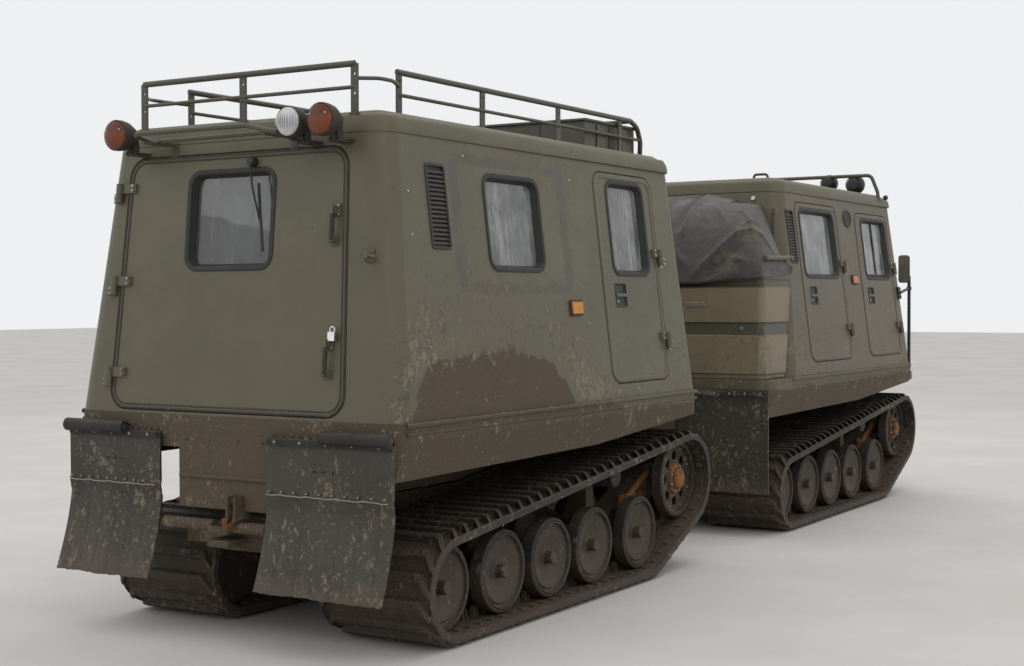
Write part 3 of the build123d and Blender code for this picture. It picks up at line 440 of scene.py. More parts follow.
# Shader nodes
class Tree:
    """Short calls that add nodes to a material or a group and link them."""

    def __init__(self, tree):
        self.tree = tree

    def node(self, kind, **settings):
        made = self.tree.nodes.new(kind)
        for key, value in settings.items():
            setattr(made, key, value)
        return made

    def feed(self, socket, value):
        if isinstance(value, bpy.types.NodeSocket):
            self.tree.links.new(value, socket)
        elif isinstance(value, (tuple, list)) and socket.type == "RGBA":
            socket.default_value = (*value[:3], 1.0)
        else:
            socket.default_value = value

    def maths(self, operation, a, b=0.0):
        made = self.node("ShaderNodeMath", operation=operation)
        self.feed(made.inputs[0], a)
        self.feed(made.inputs[1], b)
        return made.outputs[0]

    def times(self, a, b):
        return self.maths("MULTIPLY", a, b)

    def plus(self, a, b):
        return self.maths("ADD", a, b)

    def less(self, a, b):
        return self.maths("SUBTRACT", a, b)

    def most(self, a, b):
        return self.maths("MAXIMUM", a, b)

    def span(self, value, low, high, to_low=0.0, to_high=1.0):
        """The value eased from to_low at low to to_high at high."""
        made = self.node("ShaderNodeMapRange", interpolation_type="SMOOTHSTEP")
        for socket, given in zip(made.inputs, (value, low, high, to_low, to_high)):
            self.feed(socket, given)
        return made.outputs[0]

    def mix(self, mask, a, b):
        """Colour a where the mask is nought, and b where it is one."""
        made = self.node("ShaderNodeMix", data_type="RGBA")
        self.feed(made.inputs[0], mask)
        self.feed(made.inputs[6], a)
        self.feed(made.inputs[7], b)
        return made.outputs[2]

    def place(self, scale=(1, 1, 1)):
        """Places in the row frame, stretched by a scale."""
        coords = self.node("ShaderNodeTexCoord").outputs["Object"]
        if tuple(scale) == (1, 1, 1):
            return coords
        made = self.node("ShaderNodeMapping")
        self.feed(made.inputs["Vector"], coords)
        made.inputs["Scale"].default_value = scale
        return made.outputs[0]

    def noise(self, coords, scale, detail=3.0, rough=0.5, warp=0.0):
        made = self.node("ShaderNodeTexNoise")
        self.feed(made.inputs["Vector"], coords)
        self.feed(made.inputs["Scale"], scale)
        made.inputs["Detail"].default_value = detail
        made.inputs["Roughness"].default_value = rough
        made.inputs["Distortion"].default_value = warp
        return made.outputs["Fac"]

    def height(self):
        """Height above the ground at rest."""
        split = self.node("ShaderNodeSeparateXYZ")
        self.feed(split.inputs[0], self.place())
        return split.outputs["Z"]

    def bump(self, height, distance, strength=1.0, normal=None):
        made = self.node("ShaderNodeBump")
        self.feed(made.inputs["Height"], height)
        made.inputs["Distance"].default_value = distance
        made.inputs["Strength"].default_value = strength
        if normal is not None:
            self.feed(made.inputs["Normal"], normal)
        return made.outputs["Normal"]

    def use(self, effect, **values):
        """Place an effect group; underscores in the value names stand for spaces."""
        made = self.node("ShaderNodeGroup")
        made.node_tree = effect_of(effect)
        for key, value in values.items():
            self.feed(made.inputs[key.replace("_", " ")], value)
        return made.outputs


def effect_grain(t, given, out):
    """Fine, broad and blotchy variation."""
    coords = t.place()
    t.feed(out["Fine"], t.noise(coords, t.times(given["Scale"], 22.0), 5.0, 0.65))
    t.feed(out["Broad"], t.span(t.noise(coords, given["Scale"], 6.0, 0.6), 0.3, 0.7))
    t.feed(out["Blotch"], t.span(t.noise(coords, t.times(given["Scale"], 0.32), 4.0, 0.6, 0.6), 0.42, 0.66))


def effect_edges(t, given, out):
    """Worn and rounded edges."""
    around = t.node("ShaderNodeBevel", samples=3)
    t.feed(around.inputs["Radius"], given["Radius"])
    dot = t.node("ShaderNodeVectorMath", operation="DOT_PRODUCT")
    t.feed(dot.inputs[0], around.outputs[0])
    t.feed(dot.inputs[1], t.node("ShaderNodeNewGeometry").outputs["Normal"])
    sharp = t.less(1.0, dot.outputs["Value"])
    broken = t.span(t.noise(t.place(), 46.0, 4.0, 0.7), 0.38, 0.62)
    worn = t.times(t.span(sharp, 0.02, 0.22), broken)
    t.feed(out["Mask"], t.times(worn, given["Amount"]))
    t.feed(out["Normal"], around.outputs[0])


def effect_mud(t, given, out):
    """Mud that thickens downwards and ends in ragged patches."""
    coords = t.place((1.0, 1.0, 0.7))
    low = t.span(t.height(), given["Top"], t.less(given["Top"], given["Fade"]))
    ragged = t.noise(coords, given["Scale"], 8.0, 0.68, 0.4)
    torn = t.noise(coords, t.times(given["Scale"], 6.5), 7.0, 0.72, 0.8)
    edge = t.plus(t.times(ragged, 1.25), t.times(torn, 1.05))
    lifted = t.plus(t.times(low, 1.25), t.less(edge, 1.57))
    t.feed(out["Mask"], t.times(t.span(lifted, 0.0, 0.20), given["Amount"]))
    t.feed(out["Relief"], t.noise(coords, 70.0, 6.0, 0.7))


def effect_sides(t, given, out):
    """Walls that face sideways, and how far along the vehicle a place is."""
    turned = t.node("ShaderNodeSeparateXYZ")
    t.feed(turned.inputs[0], t.node("ShaderNodeNewGeometry").outputs["Normal"])
    t.feed(out["Mask"], t.span(t.maths("ABSOLUTE", turned.outputs["Y"]), 0.35, 0.80))
    where = t.node("ShaderNodeSeparateXYZ")
    t.feed(where.inputs[0], t.place())
    t.feed(out["Along"], where.outputs["X"])


def effect_splash(t, given, out):
    """Tan flakes and dark mottles, dense just above the top of a mud film and sparse below it."""
    height = t.height()
    above = t.span(height, t.plus(given["Top"], given["Reach"]), given["Top"])
    below = t.span(height, t.less(given["Top"], 0.26), t.less(given["Top"], 0.04), given["Under"], 1.0)
    clouds = t.span(t.noise(t.place(), 2.3, 4.0, 0.6), 0.34, 0.62, 0.2, 1.0)
    dense = t.times(t.times(above, below), t.times(clouds, given["Amount"]))
    shown = t.span(dense, 0.0, 0.08)
    coords = t.place((1.0, 1.0, 0.75))
    masks = []
    for scale, rough, start, reach in ((24.0, 0.76, 0.640, 0.150), (60.0, 0.72, 0.645, 0.140),
                                       (34.0, 0.74, 0.625, 0.140)):
        edge = t.less(start, t.times(dense, reach))
        masks.append(t.span(t.noise(coords, scale, 6.0, rough), edge, t.plus(edge, 0.030)))
    t.feed(out["Tan"], t.times(t.most(masks[0], masks[1]), shown))
    t.feed(out["Dark"], t.times(masks[2], shown))


def effect_streaks(t, given, out):
    """Upright runs left by rain."""
    fine = t.noise(t.place((1.0, 1.0, 0.035)), 55.0, 4.0, 0.7)
    wide = t.noise(t.place((1.0, 1.0, 0.12)), 9.0, 3.0, 0.6)
    t.feed(out["Mask"], t.times(t.span(t.times(fine, wide), 0.22, 0.42), given["Amount"]))


def effect_specks(t, given, out):
    """Small chips and dirt spots, scattered unevenly."""
    cells = t.node("ShaderNodeTexVoronoi")
    t.feed(cells.inputs["Vector"], t.place())
    t.feed(cells.inputs["Scale"], given["Scale"])
    pick = t.node("ShaderNodeSeparateColor")
    t.feed(pick.inputs[0], cells.outputs["Color"])
    chosen = t.maths("LESS_THAN", pick.outputs[0], given["Share"])
    dot = t.span(cells.outputs["Distance"], given["Size"], t.times(given["Size"], 0.6))
    t.feed(out["Mask"], t.times(chosen, dot))


def effect_dust(t, given, out):
    """Dust that has settled on what faces up."""
    split = t.node("ShaderNodeSeparateXYZ")
    t.feed(split.inputs[0], t.node("ShaderNodeNewGeometry").outputs["Normal"])
    up = t.span(split.outputs["Z"], 0.25, 0.95)
    uneven = t.span(t.noise(t.place(), 7.0, 6.0, 0.65), 0.32, 0.68, 0.35, 1.0)
    t.feed(out["Mask"], t.times(t.times(up, uneven), given["Amount"]))


def effect_weave(t, given, out):
    """Plain woven threads."""
    waves = []
    for direction in ("X", "Z"):
        made = t.node("ShaderNodeTexWave", wave_type="BANDS", bands_direction=direction)
        t.feed(made.inputs["Vector"], t.place())
        t.feed(made.inputs["Scale"], given["Scale"])
        made.inputs["Distortion"].default_value = 0.6
        waves.append(made.outputs["Fac"])
    t.feed(out["Threads"], t.plus(t.times(waves[0], 0.5), t.times(waves[1], 0.5)))


# Each effect: what builds it, its inputs with their defaults, and its outputs
EFFECTS = {
    "Grain": (effect_grain, {"Scale": 4.0}, {"Fine": "Float", "Broad": "Float", "Blotch": "Float"}),
    "Edge wear": (effect_edges, {"Radius": 0.004, "Amount": 0.6}, {"Mask": "Float", "Normal": "Vector"}),
    "Mud": (effect_mud, {"Top": 1.2, "Fade": 0.5, "Scale": 5.0, "Amount": 1.0},
            {"Mask": "Float", "Relief": "Float"}),
    "Splash": (effect_splash, {"Top": 1.2, "Reach": 0.38, "Under": 0.25, "Amount": 1.0},
               {"Tan": "Float", "Dark": "Float"}),
    "Sides": (effect_sides, {}, {"Mask": "Float", "Along": "Float"}),
    "Streaks": (effect_streaks, {"Amount": 0.5}, {"Mask": "Float"}),
    "Specks": (effect_specks, {"Scale": 9.0, "Size": 0.05, "Share": 0.15}, {"Mask": "Float"}),
    "Dust": (effect_dust, {"Amount": 0.5}, {"Mask": "Float"}),
    "Weave": (effect_weave, {"Scale": 400.0}, {"Threads": "Float"}),
}


def effect_of(name):
    """The shader group of an effect, built once."""
    group = bpy.data.node_groups.get(name)
    if group:
        return group
    build, given, put_out = EFFECTS[name]
    group = bpy.data.node_groups.new(name, "ShaderNodeTree")
    for label, default in given.items():
        socket = group.interface.new_socket(name=label, in_out="INPUT", socket_type="NodeSocketFloat")
        socket.default_value = default
    for label, kind in put_out.items():
        group.interface.new_socket(name=label, in_out="OUTPUT", socket_type="NodeSocket" + kind)
    tree = Tree(group)
    inside = tree.node("NodeGroupInput").outputs
    outside = tree.node("NodeGroupOutput").inputs
    build(tree, inside, outside)
    return group


FINISH_PREFIX = "carrier_"


def new_finish(name):
    """An empty material with its shader, ready for links."""
    made = bpy.data.materials.new(FINISH_PREFIX + name)
    made.use_nodes = True
    made.node_tree.nodes.clear()
    tree = Tree(made.node_tree)
    shader = tree.node("ShaderNodeBsdfPrincipled")
    out = tree.node("ShaderNodeOutputMaterial")
    tree.feed(out.inputs["Surface"], shader.outputs[0])
    return made, tree, shader


def shade(colour, factor):
    return tuple(min(1.0, c * factor) for c in colour[:3])


def colours():
    return bpy.context.scene.carrier_colours


def wear():
    return bpy.context.scene.carrier_wear


def painted(name, colour, top=1.16, fade=0.42, film=0.85, flakes=0.8, reach=0.38, under=0.25, mottles=0.6,
            all_round=True, specks=0.10, gloss=0.46, edge=0.005, dust=0.35, patches=None):
    """Olive paint under rain runs, mud film, tan flakes, dark mottles, chips and worn edges."""
    made, t, shader = new_finish(name)
    mud = tuple(colours().mud)
    pale = tuple(colours().dust)
    grain = t.use("Grain", Scale=2.6)
    base = t.mix(grain["Broad"], shade(colour, 0.90), shade(colour, 1.10))
    faded = (colour[0] * 1.04, colour[1] * 1.03, colour[2] * 1.08)
    base = t.mix(t.times(grain["Blotch"], 0.5), base, faded)
    warm = (colour[0] * 1.00, colour[1] * 0.88, colour[2] * 0.90)
    rosy = t.span(t.noise(t.place(), 1.7, 3.0, 0.5, 0.8), 0.52, 0.72, 0.0, 0.5)
    base = t.mix(rosy, base, warm)
    if patches:
        base = patches(t, base)
    runs = t.use("Streaks", Amount=wear().streak_amount)["Mask"]
    base = t.mix(t.times(runs, 0.35), base, shade(pale, 0.48))
    sides = t.use("Sides")
    amount = 1.0 if all_round else sides["Mask"]
    height = top(t, sides["Along"]) if callable(top) else top
    given = t.times(amount, film * wear().mud_amount)
    layer = t.use("Mud", Top=height, Fade=fade, Scale=2.4, Amount=given)
    base = t.mix(layer["Mask"], base, t.mix(grain["Fine"], shade(mud, 0.84), shade(mud, 1.18)))
    given = t.times(amount, flakes * wear().mud_amount)
    flake = t.use("Splash", Top=height, Reach=reach, Under=under, Amount=given)
    base = t.mix(t.times(flake["Dark"], mottles), base, (0.050, 0.052, 0.040))
    tan = flake["Tan"]
    base = t.mix(tan, base, t.mix(grain["Fine"], shade(pale, 0.66), shade(pale, 1.05)))
    settled = t.use("Dust", Amount=dust)["Mask"]
    base = t.mix(settled, base, shade(pale, 0.72))
    chips = t.use("Specks", Scale=8.5, Size=0.055, Share=specks)["Mask"]
    base = t.mix(t.times(chips, 0.8), base, shade(colour, 0.22))
    rubbed = t.use("Edge wear", Radius=edge, Amount=wear().edge_amount)
    base = t.mix(rubbed["Mask"], base, shade(pale, 0.95))
    t.feed(shader.inputs["Base Color"], base)
    rough = t.span(grain["Fine"], 0.3, 0.7, gloss - 0.07, gloss + 0.09)
    rough = t.most(rough, t.times(layer["Mask"], 0.86))
    t.feed(shader.inputs["Roughness"], t.most(rough, t.times(tan, 0.92)))
    relief = t.plus(t.times(grain["Fine"], 0.14), t.times(tan, 0.8))
    relief = t.plus(relief, t.times(layer["Mask"], t.times(layer["Relief"], 0.7)))
    dents = t.bump(t.noise(t.place(), 2.2, 2.0, 0.4), 0.010, 0.5, rubbed["Normal"])
    t.feed(shader.inputs["Normal"], t.bump(relief, 0.0014, 0.9, dents))
    return made


def tub_film(t, along):
    """Top of the mud film on the tubs and their ledges: over the rear car's ledge near its corner."""
    fall = t.span(along, st(2.10), st(1.60))
    return t.plus(1.00, t.times(fall, 0.12))


def rear_film(t, along):
    """Top of the mud film on the rear car: highest between the corner and the side door."""
    rise = t.span(along, st(-0.05), st(0.34))
    fall = t.span(along, st(1.82), st(1.15))
    return t.plus(1.02, t.times(t.times(rise, fall), 0.41))


def front_film(t, along):
    """Top of the mud film on the front car: a little higher on the aft door."""
    return t.span(along, st(5.80), st(5.55), 1.02, 1.11)


def window_ghost(t, base):
    """Grey primer band left round the rear car's side window, with ragged edges."""
    split = t.node("ShaderNodeSeparateXYZ")
    t.feed(split.inputs[0], t.place())
    ragged = t.times(t.less(t.noise(t.place(), 11.0, 6.0, 0.7), 0.5), 0.10)
    masks = []
    middle = ((st(1.085), 0.515, 0.075), (1.866, 0.315, 0.045))
    for axis, (centre, half, width) in zip(("X", "Z"), middle):
        off = t.maths("ABSOLUTE", t.less(split.outputs[axis], centre))
        off = t.plus(t.less(off, half), ragged)
        masks.append((t.span(off, 0.012, -0.012), t.span(t.plus(off, width), -0.012, 0.012)))
    inside = t.times(masks[0][0], masks[1][0])
    band = t.most(masks[0][1], masks[1][1])
    patchy = t.span(t.noise(t.place(), 6.0, 5.0, 0.7), 0.38, 0.56, 0.45, 1.0)
    mask = t.times(t.times(inside, band), patchy)
    return t.mix(mask, base, (0.079, 0.070, 0.058))


def grimy(name, colour, film_top=0.9, film=1.0, splash=0.9, gloss=0.6, edge=0.004, edge_amount=None,
          metallic=0.0, relief_depth=0.002, worn=None, scale=6.0, dust=0.5):
    """Iron, rubber or sheet that works in mud."""
    made, t, shader = new_finish(name)
    mud = tuple(colours().mud)
    pale = tuple(colours().dust)
    grain = t.use("Grain", Scale=scale)
    base = t.mix(grain["Broad"], shade(colour, 0.8), shade(colour, 1.25))
    layer = t.use("Mud", Top=film_top, Fade=0.6, Scale=scale, Amount=film * wear().mud_amount)
    base = t.mix(layer["Mask"], base, t.mix(grain["Fine"], shade(mud, 0.62), shade(mud, 1.35)))
    tan = t.use("Splash", Top=film_top + 0.05, Reach=0.5, Under=0.8,
                Amount=splash * wear().mud_amount)["Tan"]
    base = t.mix(tan, base, t.mix(grain["Fine"], shade(pale, 0.45), shade(pale, 0.85)))
    settled = t.use("Dust", Amount=dust)["Mask"]
    base = t.mix(settled, base, shade(mud, 1.3))
    rubbed = t.use("Edge wear", Radius=edge,
                   Amount=wear().edge_amount if edge_amount is None else edge_amount)
    base = t.mix(rubbed["Mask"], base, worn or shade(pale, 0.8))
    t.feed(shader.inputs["Base Color"], base)
    rough = t.span(grain["Fine"], 0.3, 0.7, gloss - 0.1, gloss + 0.12)
    t.feed(shader.inputs["Roughness"], t.most(rough, t.times(layer["Mask"], 0.88)))
    shader.inputs["Metallic"].default_value = metallic
    height = t.plus(t.times(grain["Fine"], 0.4), t.times(layer["Relief"], layer["Mask"]))
    height = t.plus(height, t.times(tan, 0.6))
    t.feed(shader.inputs["Normal"], t.bump(height, relief_depth, 0.9, rubbed["Normal"]))
    return made


def glass(name, tint, film, see_through, rough_low, rough_high, veil_colour=(0.55, 0.56, 0.565)):
    """Window glass behind a film of dust that rain has run through."""
    made, t, shader = new_finish(name)
    runs = t.use("Streaks", Amount=1.0)["Mask"]
    cloudy = t.span(t.noise(t.place(), 5.0, 5.0, 0.6), 0.3, 0.7)
    veil = t.times(t.plus(t.times(runs, 0.6), t.times(cloudy, 0.4)), film)
    spots = t.use("Specks", Scale=26.0, Size=0.16, Share=0.10)["Mask"]
    base = t.mix(veil, tint, veil_colour)
    t.feed(shader.inputs["Base Color"], t.mix(t.times(spots, 0.7), base, (0.10, 0.10, 0.09)))
    t.feed(shader.inputs["Roughness"], t.span(veil, 0.0, 1.0, rough_low, rough_high))
    shader.inputs["Transmission Weight"].default_value = see_through
    shader.inputs["IOR"].default_value = 1.48
    t.feed(shader.inputs["Normal"], t.bump(t.noise(t.place(), 3.0, 2.0), 0.002, 0.25))
    return made


def lens(name, colour, deep, glow=0.0):
    """Ribbed plastic lens, with a painted glow of the given strength."""
    made, t, shader = new_finish(name)
    grain = t.use("Grain", Scale=9.0)
    base = t.mix(grain["Broad"], deep, colour)
    dirt = t.use("Mud", Top=3.2, Fade=1.6, Scale=14.0, Amount=0.10)["Mask"]
    t.feed(shader.inputs["Base Color"], t.mix(dirt, base, shade(colours().dust, 0.8)))
    t.feed(shader.inputs["Roughness"], t.span(grain["Fine"], 0.3, 0.7, 0.28, 0.44))
    shader.inputs["Specular IOR Level"].default_value = 0.28
    shader.inputs["Emission Color"].default_value = (*colour, 1.0)
    shader.inputs["Emission Strength"].default_value = glow
    return made


def metal(name, colour, rough, dirt=0.4):
    """Bare or plated metal with stains."""
    made, t, shader = new_finish(name)
    grain = t.use("Grain", Scale=12.0)
    base = t.mix(grain["Broad"], shade(colour, 0.8), colour)
    stain = t.use("Mud", Top=2.6, Fade=2.4, Scale=9.0, Amount=dirt)["Mask"]
    t.feed(shader.inputs["Base Color"], t.mix(stain, base, tuple(colours().mud)))
    t.feed(shader.inputs["Roughness"], t.span(grain["Fine"], 0.3, 0.7, rough, rough + 0.16))
    t.feed(shader.inputs["Metallic"], t.less(1.0, t.times(stain, 0.9)))
    t.feed(shader.inputs["Normal"], t.bump(grain["Fine"], 0.0004, 0.6))
    return made


def cover_cloth():
    """Faded black coated cloth with pale creases, dust and moss stains."""
    made, t, shader = new_finish("cover_cloth")
    cloth = tuple(colours().cloth)
    grain = t.use("Grain", Scale=3.4)
    base = t.mix(grain["Broad"], shade(cloth, 0.72), shade(cloth, 1.35))
    bloom = t.span(t.noise(t.place((1.0, 1.0, 0.6)), 3.2, 7.0, 0.7, 0.9), 0.46, 0.70)
    base = t.mix(t.times(bloom, 0.55), base, (0.070, 0.067, 0.066))
    moss = t.span(t.noise(t.place((0.8, 1.0, 1.0)), 2.9, 7.0, 0.72, 0.7), 0.575, 0.70)
    near = []
    for spot, reach in (((st(4.16), -0.72, 1.93), 0.15), ((st(4.05), -0.64, 1.74), 0.13),
                        ((st(4.1), 0.30, 1.85), 0.2)):
        away = t.node("ShaderNodeVectorMath", operation="DISTANCE")
        t.feed(away.inputs[0], t.place())
        away.inputs[1].default_value = spot
        near.append(t.span(away.outputs["Value"], reach, reach * 0.3))
    near = t.most(t.most(near[0], near[1]), near[2])
    moss = t.times(moss, t.span(t.height(), 2.2, 1.85, 0.0, 0.55))
    moss = t.most(moss, t.times(near, t.span(t.noise(t.place(), 13.0, 7.0, 0.75), 0.42, 0.60)))
    base = t.mix(t.times(moss, 0.8), base,
                 t.mix(grain["Fine"], (0.060, 0.062, 0.022), (0.190, 0.180, 0.075)))
    specks = t.use("Specks", Scale=30.0, Size=0.14, Share=0.10)["Mask"]
    base = t.mix(t.times(specks, 0.7), base, (0.24, 0.23, 0.21))
    settled = t.use("Dust", Amount=0.5)["Mask"]
    t.feed(shader.inputs["Base Color"], t.mix(settled, base, (0.12, 0.112, 0.10)))
    t.feed(shader.inputs["Roughness"], t.span(grain["Broad"], 0.0, 1.0, 0.42, 0.66))
    shader.inputs["Sheen Weight"].default_value = 0.12
    threads = t.use("Weave", Scale=260.0)["Threads"]
    folds = t.noise(t.place((1.0, 1.0, 1.0)), 9.0, 5.0, 0.55, 1.2)
    wrinkled = t.bump(folds, 0.014, 0.7)
    t.feed(shader.inputs["Normal"], t.bump(threads, 0.0006, 0.5, wrinkled))
    return made


def seat_cloth():
    """Dark woven seat cloth with worn nap."""
    made, t, shader = new_finish("seat_cloth")
    grain = t.use("Grain", Scale=6.0)
    threads = t.use("Weave", Scale=180.0)["Threads"]
    base = t.mix(grain["Broad"], (0.020, 0.022, 0.020), (0.044, 0.046, 0.040))
    base = t.mix(t.times(threads, 0.4), base, (0.070, 0.070, 0.062))
    settled = t.use("Dust", Amount=0.35)["Mask"]
    t.feed(shader.inputs["Base Color"], t.mix(settled, base, (0.11, 0.10, 0.085)))
    t.feed(shader.inputs["Roughness"], t.span(grain["Fine"], 0.3, 0.7, 0.72, 0.9))
    shader.inputs["Sheen Weight"].default_value = 0.3
    t.feed(shader.inputs["Normal"], t.bump(threads, 0.0008, 0.8))
    return made


def rust_iron():
    """Orange rust over bare iron."""
    made, t, shader = new_finish("rust_iron")
    grain = t.use("Grain", Scale=8.0)
    base = t.mix(grain["Broad"], (0.085, 0.034, 0.014), (0.30, 0.125, 0.035))
    dark = t.span(t.noise(t.place(), 24.0, 5.0, 0.7), 0.5, 0.66)
    t.feed(shader.inputs["Base Color"], t.mix(dark, base, (0.030, 0.022, 0.017)))
    t.feed(shader.inputs["Roughness"], t.span(grain["Fine"], 0.3, 0.7, 0.75, 0.95))
    t.feed(shader.inputs["Normal"], t.bump(grain["Fine"], 0.0016, 0.9))
    return made


def lens_clear():
    """Ribbed clear lens with a frosted look."""
    made, t, shader = new_finish("lens_clear")
    grain = t.use("Grain", Scale=9.0)
    t.feed(shader.inputs["Base Color"], t.mix(grain["Broad"], (0.42, 0.44, 0.45), (0.62, 0.64, 0.66)))
    t.feed(shader.inputs["Roughness"], t.span(grain["Fine"], 0.3, 0.7, 0.12, 0.26))
    shader.inputs["Coat Weight"].default_value = 0.5
    shader.inputs["Coat Roughness"].default_value = 0.08
    return made


# Each finish by its name; a finish is built when a piece first asks for it
FINISHES = {
    "cab_paint": lambda: painted("cab_paint", colours().paint, top=rear_film, fade=0.34,
                                 film=0.95, flakes=1.0, all_round=False, patches=window_ghost),
    "front_paint": lambda: painted("front_paint", colours().paint_front, top=front_film,
                                   fade=0.22, film=0.9, flakes=0.85, reach=0.46, all_round=False),
    "roof_paint": lambda: painted("roof_paint", shade(colours().paint, 1.03), film=0.0,
                                  flakes=0.0, dust=0.22, gloss=0.5),
    "tub_paint": lambda: painted("tub_paint", shade(colours().paint, 0.95), top=tub_film,
                                 fade=0.12, film=0.92,
                                 flakes=0.6, reach=0.16, under=0.6, gloss=0.6, dust=0.5),
    # Locker paint about 1.8 times as bright as its own olive: painted light that makes up for the shade the
    # rear car casts on the lockers.
    "locker_paint": lambda: painted("locker_paint", (0.196, 0.164, 0.104), top=1.20, film=0.45, flakes=0.5),
    # Dark band of the lockers: painted shade in the recess between their panels and under the cover's hem.
    "locker_band": lambda: painted("locker_band", (0.080, 0.074, 0.054), top=1.20, film=0.3, flakes=0.4),
    "rack_paint": lambda: painted("rack_paint", (0.062, 0.060, 0.040), film=0.0, flakes=0.0,
                                  gloss=0.4, edge=0.003, dust=0.4),
    "window_glass": lambda: glass("window_glass", (0.13, 0.135, 0.14), 0.85, 0.30, 0.06, 0.30),
    "clear_glass": lambda: glass("clear_glass", (0.80, 0.82, 0.82), 0.35, 0.94, 0.02, 0.16,
                                 (0.50, 0.51, 0.50)),
    "seal_rubber": lambda: grimy("seal_rubber", (0.016, 0.016, 0.015), film_top=0.6, splash=0.2, gloss=0.55,
                                 edge_amount=0.15, relief_depth=0.0006, dust=0.4),
    "bead_rubber": lambda: grimy("bead_rubber", (0.040, 0.036, 0.030), film_top=0.9, film=0.6,
                                 splash=0.25, gloss=0.6, edge_amount=0.2, relief_depth=0.0006, dust=0.3),
    "louvre_black": lambda: grimy("louvre_black", (0.016, 0.016, 0.014), film_top=0.6,
                                  splash=0.2, gloss=0.5, relief_depth=0.0005, dust=0.5),
    "chassis_paint": lambda: grimy("chassis_paint", (0.030, 0.026, 0.020), film_top=0.95, gloss=0.7),
    "rod_chrome": lambda: metal("rod_chrome", (0.62, 0.62, 0.61), 0.14, 0.35),
    "zinc": lambda: metal("zinc", (0.50, 0.50, 0.48), 0.32, 0.45),
    "lock_steel": lambda: metal("lock_steel", (0.86, 0.86, 0.84), 0.22, 0.05),
    "track_rubber": lambda: grimy("track_rubber", tuple(colours().rubber), film_top=0.75,
                                  film=0.5, splash=0.7,
                                  gloss=0.7, edge=0.006, edge_amount=0.75, worn=(0.14, 0.128, 0.108),
                                  relief_depth=0.003, scale=7.0, dust=0.6),
    # Near-black discs of painted shade that stand in for the inside of the holes in the track bars and the
    # rear flaps.
    "bolt_hole": lambda: grimy("bolt_hole", (0.006, 0.006, 0.005), film=0.2, splash=0.1, dust=0.1),
    "belt_inner": lambda: grimy("belt_inner", (0.052, 0.046, 0.030), film_top=1.0, film=0.5,
                                splash=0.7, gloss=0.8, relief_depth=0.003, dust=0.8),
    "wheel_paint": lambda: grimy("wheel_paint", (0.036, 0.028, 0.021), film_top=0.62, film=0.4, splash=0.5,
                                 gloss=0.62, edge=0.005, worn=(0.17, 0.15, 0.125), dust=0.4),
    "tyre_rubber": lambda: grimy("tyre_rubber", (0.017, 0.016, 0.015), film_top=0.55, film=0.5,
                                 splash=0.5, gloss=0.7,
                                 edge=0.004, edge_amount=0.8, worn=(0.20, 0.18, 0.155)),
    "flap_rubber": lambda: grimy("flap_rubber", (0.040, 0.035, 0.026), film_top=0.62, film=0.65, splash=0.7,
                                 gloss=0.55, edge_amount=0.45, relief_depth=0.0012, scale=3.0, dust=0.4),
    "lamp_red": lambda: lens("lamp_red", (0.150, 0.030, 0.010), (0.085, 0.016, 0.006)),
    "lamp_amber": lambda: lens("lamp_amber", (0.210, 0.046, 0.016), (0.140, 0.030, 0.012)),
    # Amber lenses of the side markers and the nose's indicators, with a faint painted glow.
    "marker_amber": lambda: lens("marker_amber", (0.66, 0.255, 0.02), (0.50, 0.17, 0.014), 0.02),
    "marker_frame": lambda: grimy("marker_frame", (0.050, 0.016, 0.010), film_top=0.6,
                                  splash=0.2, dust=0.2),
    "lens_clear": lens_clear,
    "mirror_black": lambda: grimy("mirror_black", (0.014, 0.014, 0.014), film_top=0.6,
                                  splash=0.2, gloss=0.45, relief_depth=0.0005, dust=0.3),
    "mirror_glass": lambda: metal("mirror_glass", (0.80, 0.82, 0.82), 0.02, 0.0),
    "cover_cloth": cover_cloth,
    "seat_cloth": seat_cloth,
    "rust_iron": rust_iron,
    "engine_iron": lambda: grimy("engine_iron", (0.036, 0.034, 0.032), film_top=0.9, film=0.4, gloss=0.5,
                                 metallic=0.5),
    "inner_lining": lambda: grimy("inner_lining", (0.105, 0.103, 0.088), film_top=0.8, film=0.2,
                                  splash=0.1, gloss=0.6, relief_depth=0.0006, dust=0.3),
    "dash_black": lambda: grimy("dash_black", (0.020, 0.020, 0.019), film_top=0.6, splash=0.1, gloss=0.55,
                                relief_depth=0.0005, dust=0.4),
    "dial_white": lambda: lens("dial_white", (0.55, 0.56, 0.52), (0.40, 0.41, 0.38)),
    "wire": lambda: metal("wire", (0.38, 0.36, 0.32), 0.4, 0.3),
}


def finish_of(name):
    """The material of a finish, built once."""
    return bpy.data.materials.get(FINISH_PREFIX + name) or FINISHES[name]()


# Cab fittings
def body_of(name, side_name):
    """Body of a door on one side; the cars have one body each."""
    return name if name.endswith("_car") else name + "_" + side_name


def seal_section(width):
    """Rubber seal from the wall's outer face down the reveal to the glass."""
    lip = width * 0.36
    inner = width - lip
    deep = GLASS_DEPTH - 0.0015
    return [(lip, -0.001), (lip * 0.86, 0.0045), (0.0, 0.0062), (-inner * 0.42, 0.003),
            (-inner * 0.62, -0.010), (-inner, -deep), (-0.001, -deep), (-0.001, -0.001)]


def ring_form(loop, normal, section):
    form = Form()
    form.bead(loop, normal, section)
    return form


